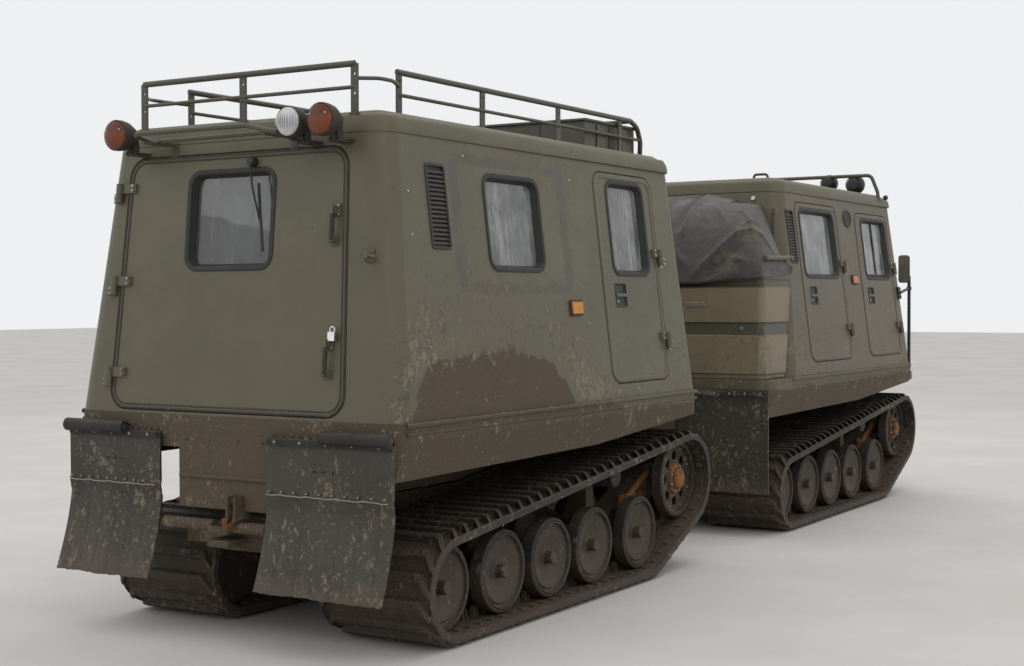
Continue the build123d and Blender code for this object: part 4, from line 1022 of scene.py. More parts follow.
class CARRIER_OT_window_seals(bpy.types.Operator):
    """Rubber seals of every window."""
    bl_idname = "carrier.window_seals"
    bl_label = "Window seals"

    def execute(self, context):
        width = bpy.context.scene.carrier_sizes.seal_width
        for side_name, side in SIDES:
            for pane in SIDE_PANES:
                face = side_face(pane.cab, side)
                loop = face.loop(stations(pane.box), WINDOW_CORNER)
                form = ring_form(loop, face.normal, seal_section(width))
                form.make("seal_" + pane.name + "_" + side_name, ["seal_rubber"],
                          body_of(pane.body, side_name), slot="louvre_black")
            nose = nose_face(FRONT_CAB)
            y0, y1, z0, z1 = SCREEN
            box = (y0, y1, z0, z1) if side > 0 else (-y1, -y0, z0, z1)
            form = ring_form(nose.loop(box, WINDOW_CORNER), nose.normal, seal_section(width))
            form.make("seal_windscreen_" + side_name, ["seal_rubber"], "front_car", slot="louvre_black")
        back = back_face(REAR_CAB)
        form = ring_form(back.loop(BACK_WINDOW, WINDOW_CORNER), back.normal, seal_section(width))
        form.make("seal_back_window", ["seal_rubber"], "back_door", slot="louvre_black")
        return {"FINISHED"}


class CARRIER_OT_sliding_pane(bpy.types.Operator):
    """Upright divider and lower track of the fore door's sliding pane."""
    bl_idname = "carrier.sliding_pane"
    bl_label = "Sliding panes"

    def execute(self, context):
        x0, x1, z0, z1 = stations(SIDE_PANES[-1].box)
        for side_name, side in SIDES:
            face = side_face(FRONT_CAB, side)
            form = Form()
            middle = x0 + (x1 - x0) * 0.55
            form.block((-0.010, z0, -0.030), (0.010, z1, -0.022), place=lambda a, b,
                       w: face.at(middle + a, b, w))
            form.block((x0, z0 + 0.02, -0.030), (x1, z0 + 0.034, -0.020), place=face.at)
            form.make("sliding_pane_" + side_name, ["seal_rubber"], "fore_door_" + side_name, 0.002,
                      slot="louvre_black")
        return {"FINISHED"}


def band_section(outer, inner, height):
    """Raised band with soft shoulders between two distances inside an edge."""
    soft = min(0.005, (inner - outer) * 0.3)
    return [(-outer, -0.001), (-outer - soft * 0.3, height * 0.7), (-outer - soft, height),
            (-inner + soft, height), (-inner + soft * 0.3, height * 0.7), (-inner, -0.001)]


class CARRIER_OT_door_beads(bpy.types.Operator):
    """Raised bands pressed round the side doors, and the gasket in each gap."""
    bl_idname = "carrier.door_beads"
    bl_label = "Side door bands"

    def execute(self, context):
        bead = bpy.context.scene.carrier_sizes.door_bead
        for side_name, side in SIDES:
            for door in SIDE_DOORS:
                face = side_face(door.cab, side)
                body = body_of(door.body, side_name)
                loop = face.loop(stations(door.box), DOOR_CORNER)
                form = ring_form(loop, face.normal,
                                 band_section(DOOR_GAP + 0.004, DOOR_GAP + 0.004 + bead, 0.0040))
                paint = "cab_paint" if door.cab is REAR_CAB else "front_paint"
                form.make("band_" + body, [paint], body, slot="cab_paint")
                gasket = ring_form(loop, face.normal,
                                   [(-0.001, -0.034), (-0.001, -0.006), (-0.0045, -0.005),
                                    (-0.0045, -0.034)])
                gasket.make("gasket_" + body, ["seal_rubber"], body_of(door.frame_body, side_name),
                            slot="louvre_black")
        return {"FINISHED"}


def back_door_loop(inset):
    """Outline of the back door on the rear face, anticlockwise as seen from behind."""
    face = back_face(REAR_CAB)
    rise = math.hypot(1, REAR_CAB.lean_rear)
    z0, z1 = BACK_DOOR_Z
    z0 += inset / rise
    z1 -= inset / rise
    foot = BACK_DOOR_HALF[0] - inset
    head = BACK_DOOR_HALF[1] - inset
    y = BACK_DOOR_SHIFT
    corners = [face.at(y + foot, z0), face.at(y - foot, z0), face.at(y - head, z1), face.at(y + head, z1)]
    return rounded(corners, BACK_CORNER - inset, closed=True, steps=8), face


class CARRIER_OT_back_door_beads(bpy.types.Operator):
    """Double rubber bead round the back door, and the gasket in its gap."""
    bl_idname = "carrier.back_door_beads"
    bl_label = "Back door bead"

    def execute(self, context):
        loop, face = back_door_loop(0.0)
        form = Form()
        for outer, inner in ((0.007, 0.015), (0.023, 0.031)):
            form.bead(loop, face.normal, band_section(outer, inner, 0.0045))
        form.bead(loop, face.normal, band_section(0.015, 0.023, 0.0018), slot=1)
        form.make("bead_back_door", ["bead_rubber", "cab_paint"], "back_door", slot="louvre_black")
        gasket = ring_form(loop, face.normal,
                           [(-0.001, -0.034), (-0.001, -0.004), (-0.0045, -0.003), (-0.0045, -0.034)])
        gasket.make("gasket_back_door", ["seal_rubber"], "rear_car", slot="louvre_black")
        return {"FINISHED"}


class CARRIER_OT_hinge_bolts(bpy.types.Operator):
    """Bolts and pins of the side doors' hinges, and bolts of the back door's hinges."""
    bl_idname = "carrier.hinge_bolts"
    bl_label = "Hinge bolts"

    def execute(self, context):
        heights = (1.296, 1.749)
        for side_name, side in SIDES:
            for door in SIDE_DOORS:
                face = side_face(door.cab, side)
                front = st(door.box[1])
                frame_form = Form()
                door_form = Form()
                for z in heights:
                    for dz in (-0.036, -0.010):
                        frame_form.stud(face.at(front + 0.037, z + dz, 0.018), face.normal, 0.0065, 0.005)
                    for dz in (0.010, 0.036):
                        door_form.stud(face.at(front - 0.058, z + dz, 0.018), face.normal, 0.0065, 0.005)
                    pin = face.at(front - 0.003, z - 0.046, 0.018)
                    frame_form.lathe([(0, -0.012), (0.007, -0.011), (0.007, 0.001), (0, 0.001)], pin,
                                     face.at(0, 1) - face.at(0, 0), 10)
                body = body_of(door.body, side_name)
                frame_form.make("hinge_bolts_frame_" + body, ["zinc"], body_of(door.frame_body, side_name),
                                slot="rod_chrome")
                door_form.make("hinge_bolts_" + body, ["zinc"], body, slot="rod_chrome")
        face = back_face(REAR_CAB)
        frame_form = Form()
        door_form = Form()
        hinge_y = BACK_DOOR_SHIFT + BACK_DOOR_HALF[0] - 0.003
        for z in (1.170, 1.590, 2.020):
            for dz in (-0.034, -0.012):
                frame_form.stud(face.at(hinge_y + 0.026, z + dz, 0.018), face.normal, 0.006, 0.005)
            for dz in (0.012, 0.034):
                door_form.stud(face.at(hinge_y - 0.082, z + dz, 0.018), face.normal, 0.006, 0.005)
        frame_form.make("hinge_bolts_frame_back_door", ["zinc"], "rear_car", slot="rod_chrome")
        door_form.make("hinge_bolts_back_door", ["zinc"], "back_door", slot="rod_chrome")
        return {"FINISHED"}


class CARRIER_OT_door_handles(bpy.types.Operator):
    """Sunk handles of the side doors: black dish, grip bar and key plate."""
    bl_idname = "carrier.door_handles"
    bl_label = "Door handles"

    def execute(self, context):
        half = 0.060
        for side_name, side in SIDES:
            for door in SIDE_DOORS:
                face = side_face(door.cab, side)
                along = st(door.box[0]) + HANDLE_IN
                form = Form()
                box = (along - half, along + half, HANDLE_Z - half, HANDLE_Z + half)
                form.bead(face.loop(box, 0.010, steps=3), face.normal,
                          [(0.004, 0.0003), (0.003, 0.0028), (-0.003, 0.0028), (-0.006, -0.006),
                           (-0.009, -0.0072), (-0.009, -0.0078), (0.0, -0.0078), (0.0, 0.0003)])
                form.block((along - half, HANDLE_Z - half, -0.0079),
                           (along + half, HANDLE_Z + half, -0.0068), place=face.at)
                form.block((along - half * 0.9, HANDLE_Z - 0.008, -0.007),
                           (along + half * 0.9, HANDLE_Z + 0.009, 0.005), slot=1, place=face.at)
                form.stud(face.at(along - half * 0.55, HANDLE_Z - 0.032, -0.007), face.normal, 0.009, 0.006,
                          12, slot=2)
                body = body_of(door.body, side_name)
                paint = "cab_paint" if door.cab is REAR_CAB else "front_paint"
                form.make("handle_" + body, ["louvre_black", paint, "zinc"], body, 0.0015,
                          slot="louvre_black")
        return {"FINISHED"}


class CARRIER_OT_back_door_fittings(bpy.types.Operator):
    """Two lever latches, the padlock, the catch, the wiper and the grab rail of the back door."""
    bl_idname = "carrier.back_door_fittings"
    bl_label = "Back door fittings"

    def execute(self, context):
        face = back_face(REAR_CAB)
        form = Form()
        y = -0.565
        for middle in (1.840, 1.275):
            top, low = middle + 0.077, middle - 0.077
            bar = [face.at(y, top, 0.026), face.at(y, top - 0.012, 0.028), face.at(y, middle, 0.028),
                   face.at(y, low + 0.012, 0.028), face.at(y, low, 0.024)]
            form.tube(bar, 0.0102, 12)
            form.block((y - 0.024, top - 0.040, 0.0), (y + 0.022, top + 0.014, 0.010), place=face.at,
                       slot=1)
            form.block((y - 0.008, top - 0.032, 0.008), (y + 0.008, top + 0.004, 0.040), place=face.at,
                       slot=1)
            form.block((y - 0.018, low - 0.010, 0.0), (y + 0.022, low + 0.024, 0.008), place=face.at,
                       slot=1)
            for dz in (-0.032, 0.006):
                form.stud(face.at(y - 0.016, top + dz, 0.010), face.normal, 0.005, 0.004, slot=2)
        form.make("latches_back_door", ["chassis_paint", "cab_paint", "zinc"], "back_door", 0.002,
                  slot="chassis_paint")

        lock = Form()
        y, z = -0.592, 1.372
        lock.block((y - 0.018, z - 0.024, 0.012), (y + 0.018, z + 0.014, 0.030), place=face.at)
        shackle = [face.at(y - 0.012, z + 0.012, 0.021), face.at(y - 0.012, z + 0.036, 0.021),
                   face.at(y + 0.012, z + 0.036, 0.021), face.at(y + 0.012, z + 0.012, 0.021)]
        lock.tube(rounded(shackle, 0.012), 0.0035, 8)
        lock.make("padlock", ["lock_steel"], "back_door", 0.003, slot="rod_chrome")

        catch = Form()
        catch.block((-0.776, 1.680, 0.0), (-0.736, 1.735, 0.014), place=face.at)
        catch.block((-0.768, 1.692, 0.012), (-0.744, 1.722, 0.040), place=face.at)
        catch.tube([face.at(-0.800, 1.700, 0.030), face.at(-0.730, 1.712, 0.030)], 0.007, 8)
        for dz in (1.688, 1.727):
            catch.stud(face.at(-0.742, dz, 0.014), face.normal, 0.005, 0.004)
        catch.make("door_catch", ["cab_paint"], "rear_car", 0.0025, slot="chassis_paint")

        wiper = Form()
        wiper.lathe([(0, 0.036), (0.016, 0.034), (0.022, 0.024), (0.024, 0.0), (0, 0.0)],
                    face.at(-0.089, 2.131), face.normal, 16)
        wiper.tube([face.at(-0.089, 2.131, 0.030), face.at(-0.118, 2.01, 0.034),
                    face.at(-0.152, 1.873, 0.016)], 0.005, 8)
        wiper.block((-0.006, -0.153, 0.0), (0.006, 0.153, 0.008),
                    place=face.axes(-0.154, 1.885) @ Matrix.Translation((0, 0, 0.008))
                    @ Matrix.Rotation(math.radians(-8.0), 4, "Z"))
        wiper.make("back_wiper", ["mirror_black"], "back_door", 0.0015, slot="louvre_black")

        rail = Form()
        points = [face.at(0.205, 1.69, -0.055), face.at(0.205, 1.69, -0.095), face.at(0.232, 1.80, -0.110),
                  face.at(0.225, 1.97, -0.110), face.at(0.175, 2.06, -0.095), face.at(0.175, 2.06, -0.055)]
        rail.tube(rounded(points, 0.05), 0.011, 10)
        rail.make("grab_rail", ["rust_iron"], "back_door", slot="chassis_paint")

        studs = Form()
        for y, z in ((-0.876, 2.025), (-0.899, 1.948), (-0.916, 1.531), (0.80, 2.03), (0.83, 1.53)):
            if abs(y) < REAR_CAB.half - REAR_CAB.lean_side * (z - LEDGE) - 0.09:
                studs.stud(face.at(y, z), face.normal, 0.008, 0.005)
        for side in (-1, 1):
            wall = side_face(REAR_CAB, side)
            for x, z in ((0.245, 1.985), (0.245, 1.80), (0.70, 2.17), (1.66, 2.12), (1.72, 1.40),
                         (0.30, 1.32)):
                studs.stud(wall.at(st(x), z), wall.normal, 0.006, 0.004)
        studs.make("cab_bolts", ["zinc"], "rear_car", slot="rod_chrome")
        return {"FINISHED"}


class CARRIER_OT_louvres(bpy.types.Operator):
    """Slatted vents of both cars with their frames and bolts, and the oval vents of the front car."""
    bl_idname = "carrier.louvres"
    bl_label = "Louvres"

    def execute(self, context):
        pitch = bpy.context.scene.carrier_sizes.slat_pitch
        for cab, body, box in ((REAR_CAB, "rear_car", REAR_VENT), (FRONT_CAB, "front_car", FRONT_VENT)):
            x0, x1, z0, z1 = stations(box)
            for side_name, side in SIDES:
                face = side_face(cab, side)
                form = Form()
                form.bead(face.loop((x0, x1, z0, z1), 0.010, steps=3), face.normal,
                          [(0.010, -0.0005), (0.008, 0.005), (-0.004, 0.006), (-0.006, -0.006),
                           (-0.0005, -0.006), (-0.0005, -0.0005)])
                foot = z0 + 0.012
                count = int((z1 - 0.008 - foot) / pitch)
                for i in range(count):
                    low = foot + i * pitch
                    section = [(low, 0.0035), (low + 0.0025, 0.0045), (low + pitch * 0.96, -0.0045),
                               (low + pitch * 0.90, -0.0062), (low, 0.0012)]
                    rings = [[face.at(x, z, w) for z, w in section] for x in (x0 + 0.006, x1 - 0.006)]
                    form.skin(rings)
                for x in (x0 + 0.018, (x0 + x1) / 2, x1 - 0.018):
                    form.stud(face.at(x, z0 - 0.004, 0.004), face.normal, 0.0035, 0.003, 8)
                form.make("louvre_" + body + "_" + side_name, ["louvre_black"], body, slot="louvre_black")
        for side_name, side in SIDES:
            face = side_face(FRONT_CAB, side)
            form = Form()
            oval = [face.at(st(5.81) + 0.076 * math.cos(t), 2.105 + 0.062 * math.sin(t))
                    for t in [2 * math.pi * k / 28 for k in range(28)]]
            if side > 0:
                oval.reverse()
            form.bead(oval, face.normal,
                      [(0.006, 0.0), (0.003, 0.008), (-0.010, 0.009), (-0.014, 0.003), (-0.014, 0.0)])
            for i in range(-4, 5):
                z = 2.105 + i * 0.0125
                reach = 0.066 * math.sqrt(max(0.05, 1 - (i * 0.0125 / 0.056) ** 2))
                form.block((st(5.81) - reach, z - 0.0045, 0.0005), (st(5.81) + reach, z + 0.0035, 0.006),
                           place=face.at)
            form.make("oval_vent_" + side_name, ["louvre_black"], "front_car", 0.001, slot="louvre_black")
        return {"FINISHED"}


class CARRIER_OT_markers(bpy.types.Operator):
    """Amber side markers in their rusty frames."""
    bl_idname = "carrier.markers"
    bl_label = "Side markers"

    def execute(self, context):
        places = ((REAR_CAB, "rear_car", (1.535, 1.660, 1.440, 1.518)),
                  (FRONT_CAB, "front_car", (5.752, 5.870, 1.624, 1.694)))
        for cab, body, box in places:
            for side_name, side in SIDES:
                face = side_face(cab, side)
                x0, x1, z0, z1 = stations(box)
                form = Form()
                form.bead(face.loop((x0 + 0.006, x1 - 0.006, z0 + 0.006, z1 - 0.006), 0.008, steps=3),
                          face.normal, [(0.007, -0.0005), (0.006, 0.010), (-0.004, 0.012), (-0.008, 0.006),
                           (-0.008, -0.0005)])
                form.block((x0 + 0.010, z0 + 0.010, 0.0), (x1 - 0.010, z1 - 0.010, 0.0145), slot=1,
                           place=face.at)
                for x in (x0 + 0.022, x1 - 0.022):
                    form.stud(face.at(x, (z0 + z1) / 2, 0.014), face.normal, 0.004, 0.003, 8, slot=2)
                form.make("marker_" + body + "_" + side_name, ["marker_frame", "marker_amber", "zinc"],
                          body, 0.002, slot="lamp_red")
        return {"FINISHED"}


def cab_plan(cab, z, out, corner, steps=8):
    """Rounded outline of a cab's outer form at a height, moved out."""
    x0 = cab.rear + cab.lean_rear * (z - LEDGE) - out
    x1 = cab.front - cab.lean_front * (z - LEDGE) + out
    half = cab.half - cab.lean_side * (z - LEDGE) + out
    corners = [Vector((x0, -half, z)), Vector((x1, -half, z)), Vector((x1, half, z)), Vector((x0, half, z))]
    return rounded(corners, corner + out, closed=True, steps=steps)


class CARRIER_OT_gutters(bpy.types.Operator):
    """Roof band that overhangs the walls with a shadow step, growing towards the front."""
    bl_idname = "carrier.gutters"
    bl_label = "Gutters"

    def execute(self, context):
        for cab, body, paint in ((REAR_CAB, "rear_car", "roof_paint"),
                                 (FRONT_CAB, "front_car", "roof_paint")):
            length = cab.front - cab.rear
            rings = []
            profile = ((-0.012, 0.001), (-0.012, 1.0), (0.0, 1.25), (0.030, 1.1), (0.048, 0.45),
                       (0.060, 0.001))
            for dz, out in profile:
                ring = []
                for point in cab_plan(cab, GUTTER + dz, 0.0, CAB_CORNER):
                    share = max(0.0, min(1.0, (point.x - cab.rear) / length))
                    reach = out * (0.003 + 0.011 * share)
                    centre = Vector((max(cab.rear + 0.3, min(cab.front - 0.4, point.x)), 0, point.z))
                    away = (point - centre).normalized()
                    ring.append(point + away * reach)
                rings.append(ring)
            form = Form()
            form.skin(rings, caps=False)
            piece = form.make("gutter_" + body, [paint], body, sharp=50, slot="cab_paint")
            thick = piece.modifiers.new("Sheet", "SOLIDIFY")
            thick.thickness = 0.003
            thick.offset = -1.0
        return {"FINISHED"}


class CARRIER_OT_tub_trim(bpy.types.Operator):
    """Ledge mouldings, skirt ribs and rivets below the cabs."""
    bl_idname = "carrier.tub_trim"
    bl_label = "Ledge mouldings"

    def execute(self, context):
        for body, start, end, node in (("rear_car", st(0.06), st(2.88), "rear_tub"),
                                       ("front_car", st(4.36), st(6.86), "front_tub")):
            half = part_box(node)[1].y
            for side_name, side in SIDES:
                form = Form()
                for z, out, thick in ((LEDGE - 0.010, 0.0095, 0.016), (LEDGE - 0.046, 0.004, 0.012)):
                    path = [Vector((x, side * (half - 0.0005), z)) for x in (start, end)]
                    rings = []
                    for p in path:
                        rings.append([p + Vector((0, side * a, b))
                                      for a, b in ((0, -thick * 0.7), (out, -thick * 0.4),
                                                   (out, thick * 0.4), (0, thick * 0.7))])
                    form.skin(rings)
                for i in range(9):
                    x = start + (end - start) * (i + 0.5) / 9
                    form.stud(Vector((x, side * (half - 0.010), LEDGE - 0.088)), (0, side, -0.3), 0.007,
                              0.005)
                form.make("ledge_moulding_" + body + "_" + side_name, ["tub_paint"], body, 0.002,
                          slot="cab_paint")
        return {"FINISHED"}


def pierced(form, outline, holes, place, low, high, slot=0):
    """Flat plate with an outline and round holes, given as (a, b) pairs."""
    loops = [[Vector((a, b, 0)) for a, b in loop] for loop in (outline, *holes)]
    flat = [p for loop in loops for p in loop]
    count = len(flat)
    faces = [tuple(t) for t in tessellate_polygon(loops)]
    faces += [tuple(count + i for i in t) for t in faces]
    first = 0
    for loop in loops:
        for i in range(len(loop)):
            a = first + i
            b = first + (i + 1) % len(loop)
            faces.append((a, b, count + b, count + a))
        first += len(loop)
    form.add([place(p.x, p.y, w) for w in (low, high) for p in flat], faces, slot)


def circle(a, b, radius, steps=12):
    return [(a + radius * math.cos(2 * math.pi * k / steps), b + radius * math.sin(2 * math.pi * k / steps))
            for k in range(steps)]


# Roof of the rear car
RACK_HALF = 0.618
RACK_TOP = 2.530
RACK_LOW = 2.430
RACK_REAR = st(0.150)
RACK_SIDE = (st(0.465), st(2.700))
RACK_POSTS = (0.465, 1.150, 1.880, 2.570)


def roof_foot(x, y):
    """Height of the rear roof's surface near its edge."""
    inside = min(x - (REAR_CAB.rear + 0.115), REAR_CAB.half - REAR_CAB.lean_side * 1.3 - abs(y))
    edge = 0.088
    drop = 0.0 if inside > edge else edge - math.sqrt(max(0.0, edge ** 2 - (edge - max(inside, 0.0)) ** 2))
    return ROOF - drop - 0.004


class CARRIER_OT_roof_rack(bpy.types.Operator):
    """Tube rails on flat pierced uprights, open at the rear corners."""
    bl_idname = "carrier.roof_rack"
    bl_label = "Roof rack"

    def execute(self, context):
        rail = bpy.context.scene.carrier_sizes.rail_radius
        form = Form()
        rear_half = RACK_HALF - 0.004
        top = [Vector((RACK_REAR, -rear_half, RACK_TOP)), Vector((RACK_REAR, rear_half, RACK_TOP))]
        form.tube(top, rail, 12)
        form.tube([p + Vector((0, 0, RACK_LOW - RACK_TOP)) for p in top], rail * 0.62, 10)
        for y in (-rear_half, 0.010, rear_half):
            post(form, RACK_REAR, y, along_y=True)
        for side in (-1, 1):
            y = side * RACK_HALF
            start, end = RACK_SIDE
            bend = [Vector((start - 0.012, y, RACK_TOP)), Vector((end, y, RACK_TOP)),
                    Vector((end + 0.085, y, RACK_TOP - 0.030)), Vector((end + 0.125, y, RACK_TOP - 0.110)),
                    Vector((st(2.838), y * 0.985, 2.345))]
            form.tube(rounded(bend, 0.09), rail, 12)
            form.tube([Vector((start, y, RACK_LOW)), Vector((end + 0.122, y, RACK_LOW))], rail * 0.62, 10)
            for x in RACK_POSTS:
                post(form, st(x), y, along_y=False)
            corner = [Vector((RACK_REAR, side * (rear_half - 0.004), 2.468)),
                      Vector((RACK_REAR + 0.10, side * 0.672, 2.474)),
                      Vector((RACK_SIDE[0] - 0.12, side * 0.672, 2.474)), Vector((RACK_SIDE[0], y, 2.468))]
            form.tube(rounded(corner, 0.10), rail * 0.62, 10)
        form.tube([Vector((st(2.700), -RACK_HALF, RACK_TOP - 0.004)),
                   Vector((st(2.700), RACK_HALF, RACK_TOP - 0.004))], rail * 0.8, 10)
        piece = form.make("roof_rack_rails", ["rack_paint"], "rear_car", slot="rack_paint")
        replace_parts(piece, "roof_rack")
        return {"FINISHED"}


def post(form, x, y, along_y):
    """Flat upright with two round holes and a foot on the roof."""
    half = 0.018
    thick = 0.005
    foot = roof_foot(x, y)
    height = RACK_TOP - foot
    outline = [(-half, 0.0), (half, 0.0), (half, height), (-half, height)]
    holes = [circle(0.0, height * 0.42, 0.007), circle(0.0, height * 0.80, 0.007)]

    def put(a, b, w):
        if along_y:
            return Vector((x + w, y + a, foot + b))
        return Vector((x + a, y + w, foot + b))
    pierced(form, outline, holes, put, -thick, thick)
    reach = (thick + 0.012, half) if along_y else (half, thick + 0.012)
    form.block((x - reach[0], y - reach[1], foot - 0.012), (x + reach[0], y + reach[1], foot + 0.006))


class CARRIER_OT_roof_tray(bpy.types.Operator):
    """Sheet tray at the front of the roof with a folded lip and upright ribs."""
    bl_idname = "carrier.roof_tray"
    bl_label = "Roof tray"

    def execute(self, context):
        low = Vector((st(2.215), -0.590, ROOF + 0.001))
        high = Vector((st(2.800), 0.590, 2.500))
        sheet = 0.004
        lip = 0.018
        form = Form()
        rings = []
        for out, z in ((0.0, low.z), (0.0, high.z), (lip, high.z), (lip, high.z - 0.012),
                       (lip - 0.003, high.z - 0.012), (lip - 0.003, high.z - sheet),
                       (-sheet, high.z - sheet), (-sheet, low.z + sheet)):
            rings.append([Vector((low.x - out, low.y - out, z)), Vector((high.x + out, low.y - out, z)),
                          Vector((high.x + out, high.y + out, z)), Vector((low.x - out, high.y + out, z))])
        form.skin(rings)
        for x in (st(2.36), st(2.508), st(2.656)):
            for y, turn in ((low.y, -1), (high.y, 1)):
                form.block((x - 0.012, y, low.z), (x + 0.012, y + turn * 0.006, high.z - 0.02))
        for y in (-0.30, 0.0, 0.30):
            form.block((low.x - 0.006, y - 0.012, low.z), (low.x, y + 0.012, high.z - 0.02))
        piece = form.make("roof_tray_sheet", ["rack_paint"], "rear_car", 0.0015, slot="rack_paint")
        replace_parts(piece, "roof_tray")
        return {"FINISHED"}


REAR_LAMPS = ((0.568, 0.070, True), (-0.610, 0.070, True), (-0.440, 0.066, False))
LAMP_Z = 2.272
LAMP_FACE = -0.075


class CARRIER_OT_rear_lamps(bpy.types.Operator):
    """Two red lamps and a work lamp above the back door, with their brackets and guard tubes."""
    bl_idname = "carrier.rear_lamps"
    bl_label = "Rear lamps"

    def execute(self, context):
        wall = back_face(REAR_CAB)
        form = Form()
        for y, radius, red in REAR_LAMPS:
            x = REAR_FACE + LAMP_FACE
            seat = wall.at(y, GUTTER - 0.02).x
            back = [(0, -0.120), (radius * 0.35, -0.118), (radius * 0.60, -0.095), (radius * 0.92, -0.050),
                    (radius, -0.020), (radius, 0.006), (radius * 0.95, 0.012), (radius * 0.90, 0.008),
                    (0, 0.004)]
            form.lathe(back, (x, y, LAMP_Z), (-1, 0, 0), 36)
            first = len(form.faces)
            form.lathe(dome_profile(radius * 0.93, 0.006, 0.026, 8), (x, y, LAMP_Z), (-1, 0, 0), 48, slot=1)
            for i in range(first, len(form.faces)):
                middle = sum((form.points[k].z for k in form.faces[i])) / len(form.faces[i])
                if not red:
                    form.slots[i] = 3
                elif middle > LAMP_Z + radius * 0.22:
                    form.slots[i] = 2
            if red:
                for turn in (0.6, 2.5):
                    spot = Vector((x - 0.020, y + radius * 0.70 * math.cos(turn),
                                   LAMP_Z + radius * 0.55 * math.sin(turn)))
                    form.stud(spot, (-1, 0, 0), 0.005, 0.006, 8, slot=4)
            else:
                for i in range(-4, 5):
                    a = i * radius * 0.19
                    reach = math.sqrt(max(0.0, (radius * 0.86) ** 2 - a * a))
                    bow = 0.026 * math.sqrt(max(0.0, 1 - (a / (radius * 0.93)) ** 2)) + 0.0045
                    rib = [Vector((x - bow * (1 - (k / 4) ** 2) - 0.006, y + a, LAMP_Z + reach * k / 4))
                           for k in range(-4, 5)]
                    form.tube(rib, 0.0035, 6, slot=3)
            form.block((x + 0.085, y - 0.022, LAMP_Z - 0.075), (x + 0.120, y + 0.022, LAMP_Z - 0.020))
            form.block((x + 0.085, y - 0.030, LAMP_Z - 0.085), (seat + 0.004, y + 0.030, LAMP_Z - 0.070))
            form.tube([Vector((x + 0.05, y, LAMP_Z - radius * 0.5)), Vector((x + 0.10, y, LAMP_Z - 0.078))],
                      0.010, 8)
        piece = form.make("rear_lamp_set",
                          ["chassis_paint", "lamp_amber", "lamp_red", "lens_clear", "zinc"], "rear_car",
                          0.0, slot="lamp_red")
        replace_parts(piece, "rear_lamps")

        guard = Form()
        outer = st(-0.100)
        inner = st(0.0)
        run = [Vector((inner + 0.02, 0.43, 2.236)), Vector((outer, 0.43, 2.262)),
               Vector((outer, 0.39, 2.268)), Vector((outer, -0.22, 2.268)), Vector((outer, -0.372, 2.232)),
               Vector((inner + 0.03, -0.385, 2.212))]
        guard.tube(rounded(run, 0.045), 0.0115, 12)
        second = [Vector((inner + 0.115, 0.40, 2.232)), Vector((inner, 0.40, 2.240)),
                  Vector((inner, -0.33, 2.246)), Vector((inner + 0.11, -0.35, 2.228))]
        guard.tube(rounded(second, 0.045), 0.0105, 12)
        for y in (0.385, -0.315):
            foot = wall.at(y, 2.190).x
            guard.block((foot - 0.004, y - 0.016, 2.170), (foot + 0.010, y + 0.016, 2.236))
            guard.block((inner - 0.095, y - 0.010, 2.222), (foot + 0.006, y + 0.010, 2.232))
            guard.stud((foot - 0.004, y, 2.185), (-1, 0, 0), 0.006, 0.005)
        guard.make("lamp_guard", ["rack_paint"], "rear_car", slot="rack_paint")
        return {"FINISHED"}


# Running gear
Wheel = namedtuple("Wheel", "x z radius")
BELT_WHEELS = (
    Wheel(IDLER_X, AXLE_Z, WHEEL_RADIUS),
    Wheel(ROAD_X[-1], AXLE_Z, WHEEL_RADIUS),
    Wheel(*SPROCKET),
)
CARS = (("rear", 0.0), ("front", GEAR_STEP))


class Belt:
    """Path of the belt's inner face round its three wheels, by distance along it."""

    def __init__(self):
        pairs = list(zip(BELT_WHEELS, BELT_WHEELS[1:] + BELT_WHEELS[:1]))
        starts = []
        for a, b in pairs:
            span = math.hypot(b.x - a.x, b.z - a.z)
            lift = math.asin((a.radius - b.radius) / span)
            starts.append(math.atan2(b.z - a.z, b.x - a.x) - math.pi / 2 + lift)
        self.runs = []
        for i, (a, b) in enumerate(pairs):
            start = starts[i]
            sweep = (starts[(i + 1) % 3] - start) % (2 * math.pi)
            p = Vector((a.x + a.radius * math.cos(start), a.z + a.radius * math.sin(start)))
            q = Vector((b.x + b.radius * math.cos(start), b.z + b.radius * math.sin(start)))
            self.runs.append((p, q, b, start, sweep))
        self.length = sum((q - p).length + wheel.radius * sweep for p, q, wheel, _, sweep in self.runs)

    def at(self, along, out):
        """Station and height of a point at a distance along the belt, pushed out."""
        along %= self.length
        for p, q, wheel, start, sweep in self.runs:
            run = (q - p).length
            if along <= run:
                spot = p.lerp(q, along / run)
                return spot.x + out * math.cos(start), spot.y + out * math.sin(start)
            along -= run
            bend = wheel.radius * sweep
            if along <= bend:
                turn = start + along / wheel.radius
                reach = wheel.radius + out
                return wheel.x + reach * math.cos(turn), wheel.z + reach * math.sin(turn)
            along -= bend
        return self.at(0.0, out)


BELT = Belt()
LUG_COUNT = round(BELT.length / LUG_PITCH)
PITCH = BELT.length / LUG_COUNT
BELT_IN = TRACK_OUTER - TRACK_WIDTH
BAR_WIDE = 0.034           # flat top of a cross bar
HOOK = 0.064               # how far a bar's ends are bent along the belt
HOOK_WIDE = 0.060          # over this much of its length
RIM_RISE = 0.009           # rim along the belt's edges
TOOTH_APART = 0.014


